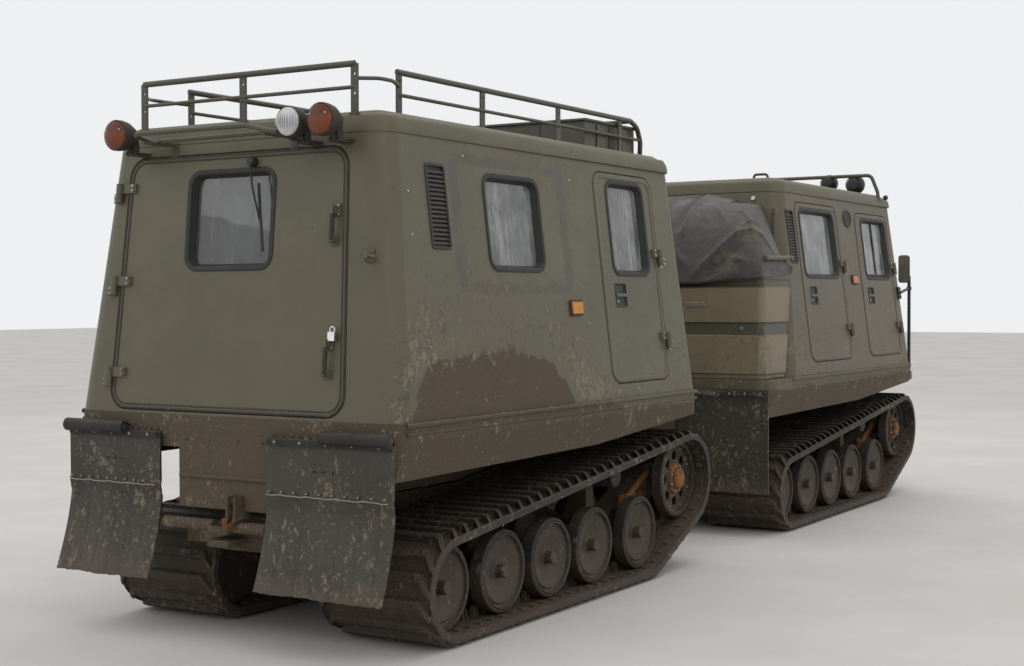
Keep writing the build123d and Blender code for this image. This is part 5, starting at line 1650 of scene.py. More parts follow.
class CARRIER_OT_tracks(bpy.types.Operator):
    """Four rubber belts: a flat cross bar a pitch with hooked ends, bolt holes, edge rims and guide teeth."""
    bl_idname = "carrier.tracks"
    bl_label = "Tracks"

    def execute(self, context):
        noise_seed = random.Random(7)
        worn = [noise_seed.uniform(-0.0012, 0.0012) for _ in range(LUG_COUNT)]
        for car, step in CARS:
            for side_name, side in SIDES:
                def put(along, y, out, step=step, side=side):
                    x, z = BELT.at(along, out)
                    return Vector((st(x + step), side * y, z))

                form = Form()
                rings = []
                samples = LUG_COUNT * 4
                rim, bed = BELT_THICK + RIM_RISE, BELT_THICK - 0.002
                edge = ((BELT_IN, 0.004), (BELT_IN, rim - 0.003), (BELT_IN + 0.003, rim),
                        (BELT_IN + 0.009, rim), (BELT_IN + 0.014, bed), (TRACK_OUTER - 0.014, bed),
                        (TRACK_OUTER - 0.009, rim), (TRACK_OUTER - 0.003, rim), (TRACK_OUTER, rim - 0.003),
                        (TRACK_OUTER, 0.004))
                for i in range(samples):
                    along = i * BELT.length / samples
                    rings.append([put(along, y, out) for y, out in edge])
                form.skin(rings, closed=True)
                outer, inner = TRACK_OUTER - 0.003, BELT_IN + 0.003
                middle = (outer + inner) / 2
                for i in range(LUG_COUNT):
                    base = i * PITCH
                    rise = LUG_HEIGHT + worn[i] - 0.001
                    spine = ((outer, HOOK, rise * 0.50, 0.022),
                             (outer - 0.020, HOOK * 0.70, rise * 0.86, 0.028),
                             (outer - HOOK_WIDE, 0.0, rise, BAR_WIDE),
                             (inner + HOOK_WIDE, 0.0, rise, BAR_WIDE),
                             (inner + 0.020, HOOK * 0.70, rise * 0.86, 0.028),
                             (inner, HOOK, rise * 0.50, 0.022))
                    ridge(form, put, base, spine)
                    for y in (outer - 0.088, outer - 0.128, inner + 0.128, inner + 0.088):
                        bolt_hole(form, put, base, y, BELT_THICK + rise)
                    bar = base + PITCH / 2
                    for y in (outer - 0.055, middle + 0.10, middle - 0.10, inner + 0.055):
                        form.block((bar - 0.009, y - 0.016, -0.0055), (bar + 0.009, y + 0.016, 0.006),
                                   slot=1, place=put)
                    for y in (DISC_OUTER - DISC_WIDTH - 0.022, INNER_DISC + DISC_WIDTH + 0.022):
                        for shift in (-TOOTH_APART, TOOTH_APART):
                            guide_tooth(form, put, base + shift, y)
                piece = form.make(car + "_belt_" + side_name, ["track_rubber", "belt_inner", "bolt_hole"],
                                  car + "_car", 0.0, sharp=28, slot="track_rubber")
                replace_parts(piece, car + "_track_" + side_name)
        return {"FINISHED"}


def ridge(form, put, base, spine):
    """Tread bar along a line of (y, shift along the belt, height, width) stations."""
    rings = []
    for y, shift, height, width in spine:
        top = width * 0.84
        rings.append([put(base + shift - width / 2 - 0.003, y, BELT_THICK - 0.004),
                      put(base + shift - top / 2, y, BELT_THICK + height),
                      put(base + shift + top / 2, y, BELT_THICK + height),
                      put(base + shift + width / 2 + 0.003, y, BELT_THICK - 0.004)])
    form.skin(rings)


def bolt_hole(form, put, base, y, out):
    """Rimmed shallow hole in a cross bar's top, floored with a near-black disc of painted shade that stands
    in for a deep hole.
    """
    rim, hole, steps = 0.0105, 0.0075, 8
    loops = []
    for radius, height in ((rim, -0.001), (rim, 0.0012), (hole, 0.0016), (hole, 0.0004)):
        loops.append([put(base + radius * a, y + radius * b, out + height)
                      for a, b in circle(0, 0, 1.0, steps)])
    form.skin(loops, caps=False)
    form.add(loops[-1], [tuple(range(steps))], slot=2)


def guide_tooth(form, put, base, y):
    """Thin upright guide plate on the belt's inner face."""
    rings = []
    for out, half_y, half_x in ((0.006, 0.016, 0.005), (-0.034, 0.012, 0.004), (-0.046, 0.007, 0.003)):
        rings.append([put(base - half_x, y - half_y, out), put(base + half_x, y - half_y, out),
                      put(base + half_x, y + half_y, out), put(base - half_x, y + half_y, out)])
    form.skin(rings, slot=1)


def disc(form, x, z, side, radius, step):
    """Outer wheel: rubber tyre, worn rim lip, groove, concave plate and long round boss."""
    centre = Vector((st(x + step), side * (DISC_OUTER - DISC_WIDTH), z))
    axis = Vector((0, side, 0))
    wide = DISC_WIDTH
    tyre = [(radius - 0.030, 0.002), (radius - 0.006, 0.0), (radius, 0.006), (radius, wide - 0.006),
            (radius - 0.006, wide), (radius - 0.016, wide + 0.001), (radius - 0.018, wide - 0.010)]
    form.lathe(tyre, centre, axis, 64, slot=0)
    face = [(radius - 0.018, wide - 0.006), (radius - 0.020, wide + 0.003), (radius - 0.025, wide + 0.003),
            (radius - 0.028, wide - 0.014), (radius - 0.040, wide - 0.018), (radius - 0.046, wide - 0.010),
            (radius - 0.070, wide - 0.016), (radius - 0.100, wide - 0.026), (0.060, wide - 0.036),
            (0.042, wide - 0.038), (0.032, wide - 0.032), (0.031, wide + 0.008), (0.027, wide + 0.013),
            (0.0, wide + 0.014)]
    form.lathe(face, centre, axis, 64, slot=1)
    back = [(0.0, 0.012), (radius - 0.060, 0.012), (radius - 0.030, 0.004), (radius - 0.028, 0.030)]
    form.lathe(back, centre, axis, 48, slot=1)


def inner_disc(form, x, z, side, radius, step):
    """Inner wheel with its tyre and the axle between the two."""
    centre = Vector((st(x + step), side * INNER_DISC, z))
    axis = Vector((0, side, 0))
    wide = DISC_WIDTH
    form.lathe([(radius - 0.030, 0.004), (radius - 0.006, 0.0), (radius, 0.006), (radius, wide - 0.006),
                (radius - 0.006, wide), (radius - 0.030, wide - 0.002)], centre, axis, 48, slot=0)
    form.lathe([(0.0, 0.004), (radius - 0.060, 0.010), (radius - 0.028, 0.004),
                (radius - 0.028, wide - 0.004), (radius - 0.055, wide - 0.030), (0.060, wide - 0.014),
                (0.0, wide - 0.014)], centre, axis, 48, slot=1)
    for low, high in ((INNER_DISC + wide - 0.020, BEAM_Y[0]), (BEAM_Y[1], DISC_OUTER - wide + 0.014)):
        form.lathe([(STUB_RADIUS + 0.012, 0.0), (STUB_RADIUS, 0.018), (STUB_RADIUS, high - low)],
                   (centre.x, side * low, z), axis, 20, slot=1)


def sprocket(form, side, step):
    """Drive wheel with round lightening holes, bolts and a rusty hub."""
    x, z, radius = SPROCKET
    centre = Vector((st(x + step), side * (DISC_OUTER - DISC_WIDTH), z))
    axis = Vector((0, side, 0))
    wide = DISC_WIDTH
    form.lathe([(radius - 0.032, 0.0), (radius - 0.010, 0.0), (radius, 0.008), (radius, wide - 0.008),
                (radius - 0.010, wide), (radius - 0.032, wide - 0.001), (radius - 0.034, wide - 0.026),
                (radius - 0.034, 0.020), (radius - 0.032, 0.0)], centre, axis, 64, slot=1)

    def put(a, b, w):
        return centre + Vector((a, side * w, b))
    holes = [circle(0.130 * math.cos(t), 0.130 * math.sin(t), 0.028, 18) for t in
             [math.pi / 4 * k for k in range(8)]]
    pierced(form, circle(0, 0, radius - 0.033, 64), holes, put, wide - 0.040, wide - 0.028, slot=1)
    form.lathe([(0.092, wide - 0.030), (0.086, wide - 0.016), (0.062, wide - 0.012), (0.058, wide + 0.006),
                (0.048, wide + 0.015), (0.0, wide + 0.017)], centre, axis, 40, slot=2)
    for k in range(8):
        turn = math.pi / 8 + math.pi / 4 * k
        form.stud(put(0.074 * math.cos(turn), 0.074 * math.sin(turn), wide - 0.014), axis, 0.009, 0.009, 6,
                  slot=3)
        form.stud(put(0.172 * math.cos(turn), 0.172 * math.sin(turn), wide - 0.028), axis, 0.008, 0.008, 6,
                  slot=3)
    inner_disc(form, x, z, side, radius, step)


class CARRIER_OT_wheels(bpy.types.Operator):
    """Idler, road wheels, sprocket and return roller of each side."""
    bl_idname = "carrier.wheels"
    bl_label = "Wheels"

    def execute(self, context):
        low = BELT.runs[2]
        share = (ROLLER[0] - low[0].x) / (low[1].x - low[0].x)
        roller_z = low[0].lerp(low[1], share).y - ROLLER[1] / math.sin(low[3])
        for car, step in CARS:
            form = Form()
            for _, side in SIDES:
                for x in (IDLER_X, *ROAD_X):
                    disc(form, x, AXLE_Z, side, WHEEL_RADIUS, step)
                    inner_disc(form, x, AXLE_Z, side, WHEEL_RADIUS, step)
                sprocket(form, side, step)
                for start, end in ((INNER_DISC, BEAM_Y[0]), (BEAM_Y[1], DISC_OUTER - 0.010)):
                    form.lathe([(0.0, 0.0), (ROLLER[1] - 0.006, 0.0), (ROLLER[1], 0.006),
                                (ROLLER[1], end - start - 0.006), (ROLLER[1] - 0.006, end - start),
                                (0.0, end - start)], (st(ROLLER[0] + step), side * start, roller_z),
                               (0, side, 0), 32, slot=0)
            piece = form.make(car + "_wheel_set", ["tyre_rubber", "wheel_paint", "rust_iron", "zinc"],
                              car + "_car", sharp=30, slot="wheel_paint")
            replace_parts(piece, car + "_wheels")
        for car, step in CARS:
            form = Form()
            for _, side in SIDES:
                for x in (IDLER_X, *ROAD_X):
                    form.lathe([(0.0, 0.030), (0.030, 0.028), (0.040, 0.018), (0.052, 0.014), (0.056, 0.0)],
                               (st(x + step), side * BEAM_Y[1], AXLE_Z), (0, side, 0), 20)
                    for dx in (-0.06, 0.06):
                        form.stud((st(x + step) + dx, side * BEAM_Y[1], AXLE_Z + 0.035), (0, side, 0),
                                  0.010, 0.009)
                x0 = st(ROAD_X[-1] + step)
                form.tube([Vector((x0, side * (BEAM_Y[1] + 0.02), AXLE_Z + 0.10)),
                           Vector((st(SPROCKET[0] + step) - 0.12, side * (BEAM_Y[1] + 0.02),
                                   SPROCKET[1] + 0.04))], 0.022, 12)
                form.block((x0 + 0.05, side * BEAM_Y[1], 0.40),
                           (x0 + 0.36, side * (BEAM_Y[1] + 0.020), 0.44))
            form.make(car + "_gear_fittings", ["rust_iron"], car + "_car", 0.003, slot="chassis_paint")
        return {"FINISHED"}


# Mud flaps
def rubber_flap(form, rows, thick, slot=0):
    """Sheet between rows of points, with a front and a back face."""
    count = len(rows[0])
    front = [p for row in rows for p in row]
    back = [p + Vector((thick, 0, 0)) for p in front]
    faces = []
    size = len(front)
    for i in range(len(rows) - 1):
        for j in range(count - 1):
            a = i * count + j
            quad = (a, a + 1, a + count + 1, a + count)
            faces.append(quad)
            faces.append(tuple(size + k for k in reversed(quad)))
    rim = [j for j in range(count)] + [i * count + count - 1 for i in range(1, len(rows))]
    rim += [(len(rows) - 1) * count + j for j in reversed(range(count - 1))]
    rim += [i * count for i in reversed(range(1, len(rows) - 1))]
    for k, a in enumerate(rim):
        b = rim[(k + 1) % len(rim)]
        faces.append((a, b, size + b, size + a))
    form.add(front + back, faces, slot)


def ragged(seed, count, depth):
    """Depths of a torn edge."""
    draw = random.Random(seed)
    edge = []
    value = 0.0
    for _ in range(count):
        value = value * 0.55 + draw.uniform(-1, 1) * depth
        edge.append(value)
    return edge


def flap_curl(z):
    """How far back a flap's lower part is curled at a height."""
    return 0.098 * max(0.0, (0.66 - z) / 0.38) ** 1.5


# Rear mud flaps: edges, wire line, lower part with grooves, and the grooves' shares across
FLAP_TOP = 0.945
FLAP_LOW = 0.278
FLAP_WIRE = 0.690
GROOVED_BELOW = 0.625
GROOVES = (0.14, 0.30, 0.45, 0.61, 0.77, 0.91)
GROOVE_DEEP = 0.0048


def flap_point(side, inner, outer, seed, across, share, drop):
    """Place on a rear flap's outer face: shares of its width and height, lowered by a drop."""
    z = FLAP_TOP + (FLAP_LOW - FLAP_TOP) * share
    wave = 0.006 * math.sin(across * 7.0 + seed) * share
    wave += 0.005 * math.sin(across * 15.0) * share ** 2
    bulge = 0.010 * math.sin(math.pi * share) * math.sin(math.pi * across)
    groove = 0.0
    if z < GROOVED_BELOW:
        for line in GROOVES:
            groove += GROOVE_DEEP * math.exp(-((across - line) / 0.010) ** 2)
    step = 0.007 if z > FLAP_WIRE - 0.045 else 0.0
    if abs(z - FLAP_WIRE) < 0.010:
        step += 0.004
    x = st(-0.022 - flap_curl(z)) - step - wave - bulge + groove
    return Vector((x, side * (inner + (outer - inner) * across), z + drop))


class CARRIER_OT_rear_flaps(bpy.types.Operator):
    """Rear mud flaps: clamp roll over the outer part, wire line with rivets, overlap band and grooves."""
    bl_idname = "carrier.rear_flaps"
    bl_label = "Rear mud flaps"

    def execute(self, context):
        form = Form()
        for side, inner, outer, seed, roll_ends in ((-1, 0.262, 0.935, 3, (0.47, 1.0)),
                                                    (1, 0.362, 0.935, 5, (0.35, 1.0))):
            band = FLAP_WIRE
            rows = []
            columns = 56
            heights = 48
            foot = ragged(seed + 20, columns + 1, 0.0025)
            for i in range(heights + 1):
                row = []
                for j in range(columns + 1):
                    across = j / columns
                    drop = foot[j] if i == heights else 0.0
                    if i == 0 and across < roll_ends[0] and j % 4 < 2:
                        drop -= 0.012
                    row.append(flap_point(side, inner, outer, seed, across, i / heights, drop))
                rows.append(row)
            rubber_flap(form, rows, 0.011)
            wire = []
            for k in range(25):
                y = inner + 0.014 + (outer - inner - 0.028) * k / 24
                off = 0.0035 * math.sin(k * 1.7 + seed) * math.sin(k * 0.6)
                wire.append(Vector((st(-0.046) - 0.002 * math.sin(k * 0.9), side * y, band + off)))
            form.tube(wire, 0.0030, 6, slot=1)
            for k in range(10):
                y = inner + 0.030 + (outer - inner - 0.060) * k / 9
                form.stud((st(-0.042), side * y, band + 0.016), (-1, 0, 0), 0.0062, 0.008, 8, slot=1)
            start, end = (inner + (outer - inner) * share for share in roll_ends)
            roll = [Vector((st(-0.044), side * start, 0.945)), Vector((st(-0.044), side * end, 0.945))]
            form.tube(roll, 0.030, 20, slot=2)
            form.tube([roll[0] - Vector((0, side * 0.004, 0)), roll[1] + Vector((0, side * 0.003, 0))],
                      0.014, 14, slot=3)
            form.block((st(-0.042), min(side * inner, side * outer) + 0.01, 0.903),
                       (st(-0.002), max(side * inner, side * outer) - 0.01, 0.930), slot=2)
            for k in range(5):
                y = inner + 0.06 + (outer - inner - 0.12) * k / 4
                form.stud((st(-0.042), side * y, 0.917), (-1, 0, 0), 0.008, 0.007, 6, slot=1)
            # Three holes in each flap, as near-black discs of painted shade.
            for share in (0.40, 0.47, 0.55):
                y = inner + (outer - inner) * share
                form.lathe([(0.0045, -0.002), (0.0045, 0.002), (0.0, 0.002)], (st(-0.040), side * y, 0.800),
                           (-1, 0, 0), 8, slot=4)
        piece = form.make("rear_mud_flaps",
                          ["flap_rubber", "wire", "tyre_rubber", "chassis_paint", "bolt_hole"], "rear_car",
                          0.0, slot="flap_rubber")
        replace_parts(piece, "rear_flaps")
        return {"FINISHED"}


class CARRIER_OT_front_flaps(bpy.types.Operator):
    """Flaps behind the front car's tracks with their clamp strips."""
    bl_idname = "carrier.front_flaps"
    bl_label = "Front mud flaps"

    def execute(self, context):
        form = Form()
        for side in (-1, 1):
            rows = []
            for i in range(33):
                share = i / 32
                z = 0.945 + (0.288 - 0.945) * share
                row = []
                for j in range(25):
                    across = j / 24
                    y = 0.306 + 0.624 * across
                    wave = 0.005 * math.sin(across * 9.0 + 1.0) * share
                    groove = sum(0.003 * math.exp(-((z - line) / 0.005) ** 2)
                                 for line in (0.845, 0.700, 0.655))
                    row.append(Vector((st(FRONT_DECK - 0.015) - wave + groove, side * y, z)))
                rows.append(row)
            rubber_flap(form, rows, 0.012)
            form.block((st(FRONT_DECK - 0.024), min(side * 0.32, side * 0.92), 0.902),
                       (st(FRONT_DECK - 0.014), max(side * 0.32, side * 0.92), 0.936), slot=1)
            for k in range(6):
                form.stud((st(FRONT_DECK - 0.024), side * (0.36 + 0.104 * k), 0.919), (-1, 0, 0), 0.009,
                          0.008, slot=2)
        piece = form.make("front_mud_flaps", ["flap_rubber", "chassis_paint", "zinc"], "front_car",
                          slot="flap_rubber")
        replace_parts(piece, "front_flaps")
        return {"FINISHED"}


# Stowage bay of the front car: the cover's border on the cab's rear wall as (y, z)
COVER_WALL = ((0.885, 1.715), (0.800, 1.830), (0.735, 2.000), (0.655, 2.142), (0.500, 2.150),
              (0.478, 2.188),
              (0.126, 2.222), (-0.126, 2.222), (-0.478, 2.188), (-0.500, 2.150), (-0.655, 2.142),
              (-0.735, 2.000),
              (-0.800, 1.830), (-0.885, 1.715))
# Hem of the cover as (x, y, z), and each border's shares along the sheet
COVER_HEM = ((4.480, 0.896, 1.684), (4.140, 0.898, 1.662), (3.978, 0.890, 1.650), (3.972, 0.400, 1.622),
             (3.972, -0.400, 1.620), (3.978, -0.890, 1.650), (4.140, -0.898, 1.662), (4.480, -0.896, 1.684))
COVER_HEM_SHARES = (0.0, 0.090, 0.165, 0.38, 0.62, 0.835, 0.910, 1.0)
COVER_WALL_SHARES = (0.0, 0.055, 0.120, 0.200, 0.268, 0.280, 0.44, 0.56, 0.720, 0.732, 0.800, 0.880, 0.945,
                     1.0)

COVER_COLUMNS = 220        # faces along the border and down the sheet
COVER_HEIGHTS = 84
COVER_GAP = 0.006          # between the wall and the sheet's upper border
COVER_THICK = 0.0025
CREASE_NORMAL = 0.022      # crease depth at which the folds have their own heights

# Folds of the right half: corners as (y, share of the way down), height and width; mirrored for the left half
COVER_FOLDS = (
    (((-0.40, 0.97), (-0.52, 0.86), (-0.66, 0.70), (-0.83, 0.56)), 0.030, 0.020),
    (((-0.42, 1.00), (-0.56, 0.92), (-0.70, 0.79)), -0.030, 0.028),
    (((-0.28, 0.10), (-0.27, 0.30), (-0.24, 0.62)), -0.034, 0.022),
    (((-0.32, 0.10), (-0.32, 0.34), (-0.29, 0.66)), 0.022, 0.020),
    (((-0.12, 0.20), (-0.32, 0.08), (-0.46, 0.16)), 0.020, 0.018),
    (((-0.46, 0.16), (-0.60, 0.12)), -0.014, 0.018),
    (((-0.08, 0.10), (-0.10, 0.55), (-0.16, 0.88)), -0.040, 0.034),
    (((-0.55, 0.14), (-0.56, 0.34)), 0.012, 0.014),
    (((-0.64, 0.38), (-0.72, 0.50), (-0.80, 0.70)), 0.014, 0.012),
    (((-0.80, 0.42), (-0.71, 0.56), (-0.66, 0.74)), 0.012, 0.012),
    (((-0.60, 0.84), (-0.78, 0.90)), 0.012, 0.014),
    (((-0.20, 0.78), (-0.36, 0.90)), 0.014, 0.018),
    (((-0.45, 0.34), (-0.58, 0.58)), 0.008, 0.020),
)


def along_line(points, shares, share):
    """Point of a line of corners at a share, where each corner has its own share."""
    i = 0
    while i < len(shares) - 2 and share > shares[i + 1]:
        i += 1
    part = (share - shares[i]) / (shares[i + 1] - shares[i])
    return [a + (b - a) * part for a, b in zip(points[i], points[i + 1])]


def fold_lift(y, down):
    """Height of the cover's folds at a place."""
    lift = 0.0
    for corners, height, width in COVER_FOLDS:
        for sign in (1, -1):
            best = 9.0
            reach = 0.0
            count = len(corners) - 1
            for k in range(count):
                a = Vector((corners[k][0] * sign, corners[k][1] * 0.75))
                b = Vector((corners[k + 1][0] * sign, corners[k + 1][1] * 0.75))
                p = Vector((y, down * 0.75))
                part = max(0.0, min(1.0, (p - a).dot(b - a) / (b - a).length_squared))
                off = (p - a.lerp(b, part)).length
                if off < best:
                    best = off
                    reach = (k + part) / count
            taper = 0.35 + 0.65 * math.sin(math.pi * (0.08 + 0.84 * reach))
            lift += height * taper * math.exp(-(best / width) ** 1.4)
    return lift


def cover_point(share, down, crease):
    """Place on the sheet: its share along the border and its share of the way down to the hem."""
    wy, wz = along_line(COVER_WALL, COVER_WALL_SHARES, share)
    hem = Vector(along_line(COVER_HEM, COVER_HEM_SHARES, share))
    leaning = FRONT_CAB.rear - REAR_FACE + FRONT_CAB.lean_rear * (wz - LEDGE)
    wall = Vector((leaning - COVER_GAP, wy, wz))
    middle = max(0.0, min(1.0, (min(share, 1 - share) - 0.10) / 0.14))
    middle = middle * middle * (3 - 2 * middle)
    over = Vector((4.085, (wall.y + hem.y) / 2, 2.225))
    aside = (wall + hem) / 2 + Vector((-0.06, math.copysign(0.045, hem.y), 0.06))
    control = aside.lerp(over, middle)
    point = wall * (1 - down) ** 2 + control * 2 * down * (1 - down) + hem * down ** 2
    sideways = math.copysign(0.9, hem.y) * (1 - middle)
    out = Vector((-0.72, sideways, 0.60 * middle + 0.1)).normalized()
    spot = Vector((point.x * 2.6, point.y * 2.6, point.z * 2.6))
    rough = noise.noise(spot) * 0.50 + noise.noise(spot * 2.9) * 0.28
    rough += abs(noise.noise(spot * 6.1)) * 0.16
    held = min(1.0, down * 14) * (0.35 + 0.65 * min(1.0, (1 - down) * 9))
    held *= min(1.0, min(share, 1 - share) * 26)
    sag = 0.016 * math.sin(math.pi * down) * (0.5 + 0.5 * math.cos(point.y * 11.0))
    fold = fold_lift(point.y, down) * crease / CREASE_NORMAL
    point += out * (rough * crease + fold - sag) * held
    if down == 1.0:
        point.z += 0.006 * noise.noise(Vector((share * 40.0, 3.0, 0.0)))
    return Vector((st(point.x), point.y, point.z))


class CARRIER_OT_stowage_cover(bpy.types.Operator):
    """Creased coated sheet over the stowage bay, held to the cab's rear wall and hung over the lockers."""
    bl_idname = "carrier.stowage_cover"
    bl_label = "Stowage cover"

    def execute(self, context):
        crease = bpy.context.scene.carrier_sizes.cover_crease
        columns, heights = COVER_COLUMNS, COVER_HEIGHTS
        rows = [[cover_point(j / columns, i / heights, crease) for j in range(columns + 1)]
                for i in range(heights + 1)]
        form = Form()
        faces = []
        count = columns + 1
        for i in range(heights):
            for j in range(columns):
                faces.append((i * count + j, i * count + j + 1, (i + 1) * count + j + 1,
                              (i + 1) * count + j))
        form.add([p for row in rows for p in row], faces)
        piece = form.make("stowage_cover_cloth", ["cover_cloth"], "front_car", sharp=80, slot="cover_cloth")
        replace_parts(piece, "stowage_cover")
        area = sum(face.area for face in piece.data.polygons)
        cut_wide = sum((b - a).length for a, b in zip(rows[-1], rows[-1][1:]))
        thick = piece.modifiers.new("Cloth", "SOLIDIFY")
        thick.thickness = COVER_THICK
        thick.offset = -1.0

        studs = Form()
        outward = Vector((-1, 0, FRONT_CAB.lean_rear)).normalized()
        for share in (0.03, 0.07, 0.11, 0.15, 0.19, 0.215, 0.235, 0.255):
            for place in (share, 1 - share):
                y, z = along_line(COVER_WALL, COVER_WALL_SHARES, place)
                x = FRONT_CAB.rear + FRONT_CAB.lean_rear * (z - LEDGE) - 0.008
                studs.stud((x, y * 0.985, z - 0.010), outward, 0.0075, 0.006, 10)
        for side in (-1, 1):
            z = 2.190
            x = FRONT_CAB.rear + FRONT_CAB.lean_rear * (z - LEDGE)
            studs.stud((x, side * 0.600, z), outward, 0.017, 0.012, 14)
        studs.make("cover_studs", ["zinc"], "front_car", slot="rod_chrome")
        return {"FINISHED"}


class CARRIER_OT_lockers(bpy.types.Operator):
    """Pressed lockers with dark bands of painted shade between their panels, lids and hinge lines, and under
    the cover's hem.
    """
    bl_idname = "carrier.lockers"
    bl_label = "Lockers"

    def execute(self, context):
        form = Form()
        x0 = FRONT_DECK + 0.008
        for side in (-1, 1):
            # Each level: height, how far out, and finish; finish 1 is the dark band, painted shade in the
            # recess between the panels and in the strip under the cover's hem.
            levels = ((LEDGE + 0.001, 0.0, 0), (1.040, 0.0, 0), (1.045, 0.012, 0), (1.285, 0.012, 0),
                      (1.292, 0.0, 1), (1.366, 0.0, 1), (1.374, 0.014, 0), (1.590, 0.014, 0),
                      (1.598, 0.002, 1), (1.640, 0.002, 1), (1.646, 0.010, 1), (1.702, 0.010, 1))
            for (za, out_a, slot), (zb, out_b, _) in zip(levels, levels[1:]):
                rings = []
                for z, out in ((za, out_a), (zb, out_b)):
                    back = FRONT_CAB.rear - REAR_FACE + FRONT_CAB.lean_rear * (z - LEDGE) - 0.002
                    half = 0.892 + out * 0.9 - 0.015 * (z - LEDGE)
                    ring = [Vector((st(x0 - out), side * 0.008, z)), Vector((st(x0 - out), side * half, z)),
                            Vector((st(back), side * half, z)), Vector((st(back), side * 0.008, z))]
                    ring = [ring[0]] + rounded(ring, 0.045, closed=True, steps=5)[6:12] + [ring[2], ring[3]]
                    rings.append(ring)
                form.skin(rings, slot=slot)
            form.block((st(x0 - 0.020), min(side * 0.36, side * 0.50), 1.470),
                       (st(x0 - 0.010), max(side * 0.36, side * 0.50), 1.500), slot=2)
            for y in (0.15, 0.75):
                form.stud((st(x0 - 0.012), side * y, 1.335), (-1, 0, 0), 0.010, 0.012, 8, slot=2)
        # The lockers take the brightened paint of painted light and the dark band of painted shade.
        piece = form.make("locker_boxes", ["locker_paint", "locker_band", "zinc"], "front_car", 0.004,
                          slot="cab_paint")
        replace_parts(piece, "lockers")
        return {"FINISHED"}


class CARRIER_OT_bay_struts(bpy.types.Operator):
    """Flat strut and tube that brace the cover's rack against the cab."""
    bl_idname = "carrier.bay_struts"
    bl_label = "Bay struts"

    def execute(self, context):
        form = Form()
        for side in (-1, 1):
            def put(x, y, z, side=side):
                return Vector((st(x), side * y, z))
            bar = [put(4.490, 0.763, 2.119), put(4.444, 0.778, 1.810)]
            form.tube(bar, 0.016, 8, flat=0.5)
            tube = [put(4.040, 0.884, 1.780), put(4.480, 0.892, 1.788)]
            form.tube(tube, 0.016, 12)
            form.block((st(4.425), min(side * 0.768, side * 0.880), 1.772),
                       (st(4.470), max(side * 0.768, side * 0.880), 1.802))
            form.block((st(4.470), min(side * 0.752, side * 0.776), 2.080),
                       (st(4.512), max(side * 0.752, side * 0.776), 2.120))
            form.stud(put(4.434, 0.906, 1.786), (0, side, 0), 0.009, 0.008)
        form.make("bay_struts", ["front_paint"], "front_car", 0.002, slot="chassis_paint")
        return {"FINISHED"}


# Roof and nose of the front car
class CARRIER_OT_roof_gear(bpy.types.Operator):
    """Tube bar with covered lamps at the front of the roof, and the grab handle."""
    bl_idname = "carrier.roof_gear"
    bl_label = "Front roof bar and lamps"

    def execute(self, context):
        form = Form()
        x = st(6.600)
        for side in (-1, 1):
            form.block((x - 0.045, side * 0.767 - 0.022, 2.255), (x + 0.045, side * 0.767 + 0.022, 2.268))
        bar = [Vector((x, -0.772, 2.262)), Vector((x, -0.765, 2.345)), Vector((x, -0.712, 2.478)),
               Vector((x, 0.712, 2.478)), Vector((x, 0.765, 2.345)), Vector((x, 0.772, 2.262))]
        form.tube(rounded(bar, 0.05), 0.014, 12)
        for y in (-0.55, 0.55):
            form.tube([Vector((x, y, 2.470)), Vector((x + 0.02, y, 2.330))], 0.010, 8)
        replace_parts(form.make("roof_bar", ["rack_paint"], "front_car", slot="rack_paint"), "guard_bar")
        lamps = Form()
        for y, z, radius in ((-0.357, 2.432, 0.068), (-0.570, 2.412, 0.074), (0.357, 2.432, 0.068),
                             (0.570, 2.412, 0.074)):
            lamps.lathe([(0, -0.075), (radius * 0.55, -0.070), (radius * 0.92, -0.035), (radius, 0.0),
                         (radius * 0.98, 0.022), (radius * 0.80, 0.036), (0, 0.040)], (x + 0.045, y, z),
                        (1, 0, 0), 28)
            lamps.tube([Vector((x + 0.02, y, z - radius * 0.9)), Vector((x + 0.02, y, 2.326))], 0.012, 8)
        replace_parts(lamps.make("roof_lamps", ["mirror_black"], "front_car", slot="mirror_black"),
                    "guard_bar")
        knobs = Form()
        for side in (-1, 1):
            knobs.lathe([(0, 0.028), (0.016, 0.024), (0.020, 0.010), (0.018, -0.004), (0, -0.004)],
                        (st(6.66), side * 0.800, 2.300), (0, side, 0.4), 16)
        knobs.make("roof_marker_lamps", ["mirror_black"], "front_car", slot="mirror_black")
        handle = Form()
        for side in (-1, 1):
            points = [Vector((st(4.80), side * 0.490, 2.325)), Vector((st(4.80), side * 0.490, 2.372)),
                      Vector((st(4.80), side * 0.590, 2.372)), Vector((st(4.80), side * 0.590, 2.325))]
            handle.tube(rounded(points, 0.02), 0.009, 10)
        handle.make("roof_handles", ["rack_paint"], "front_car", slot="rack_paint")
        return {"FINISHED"}


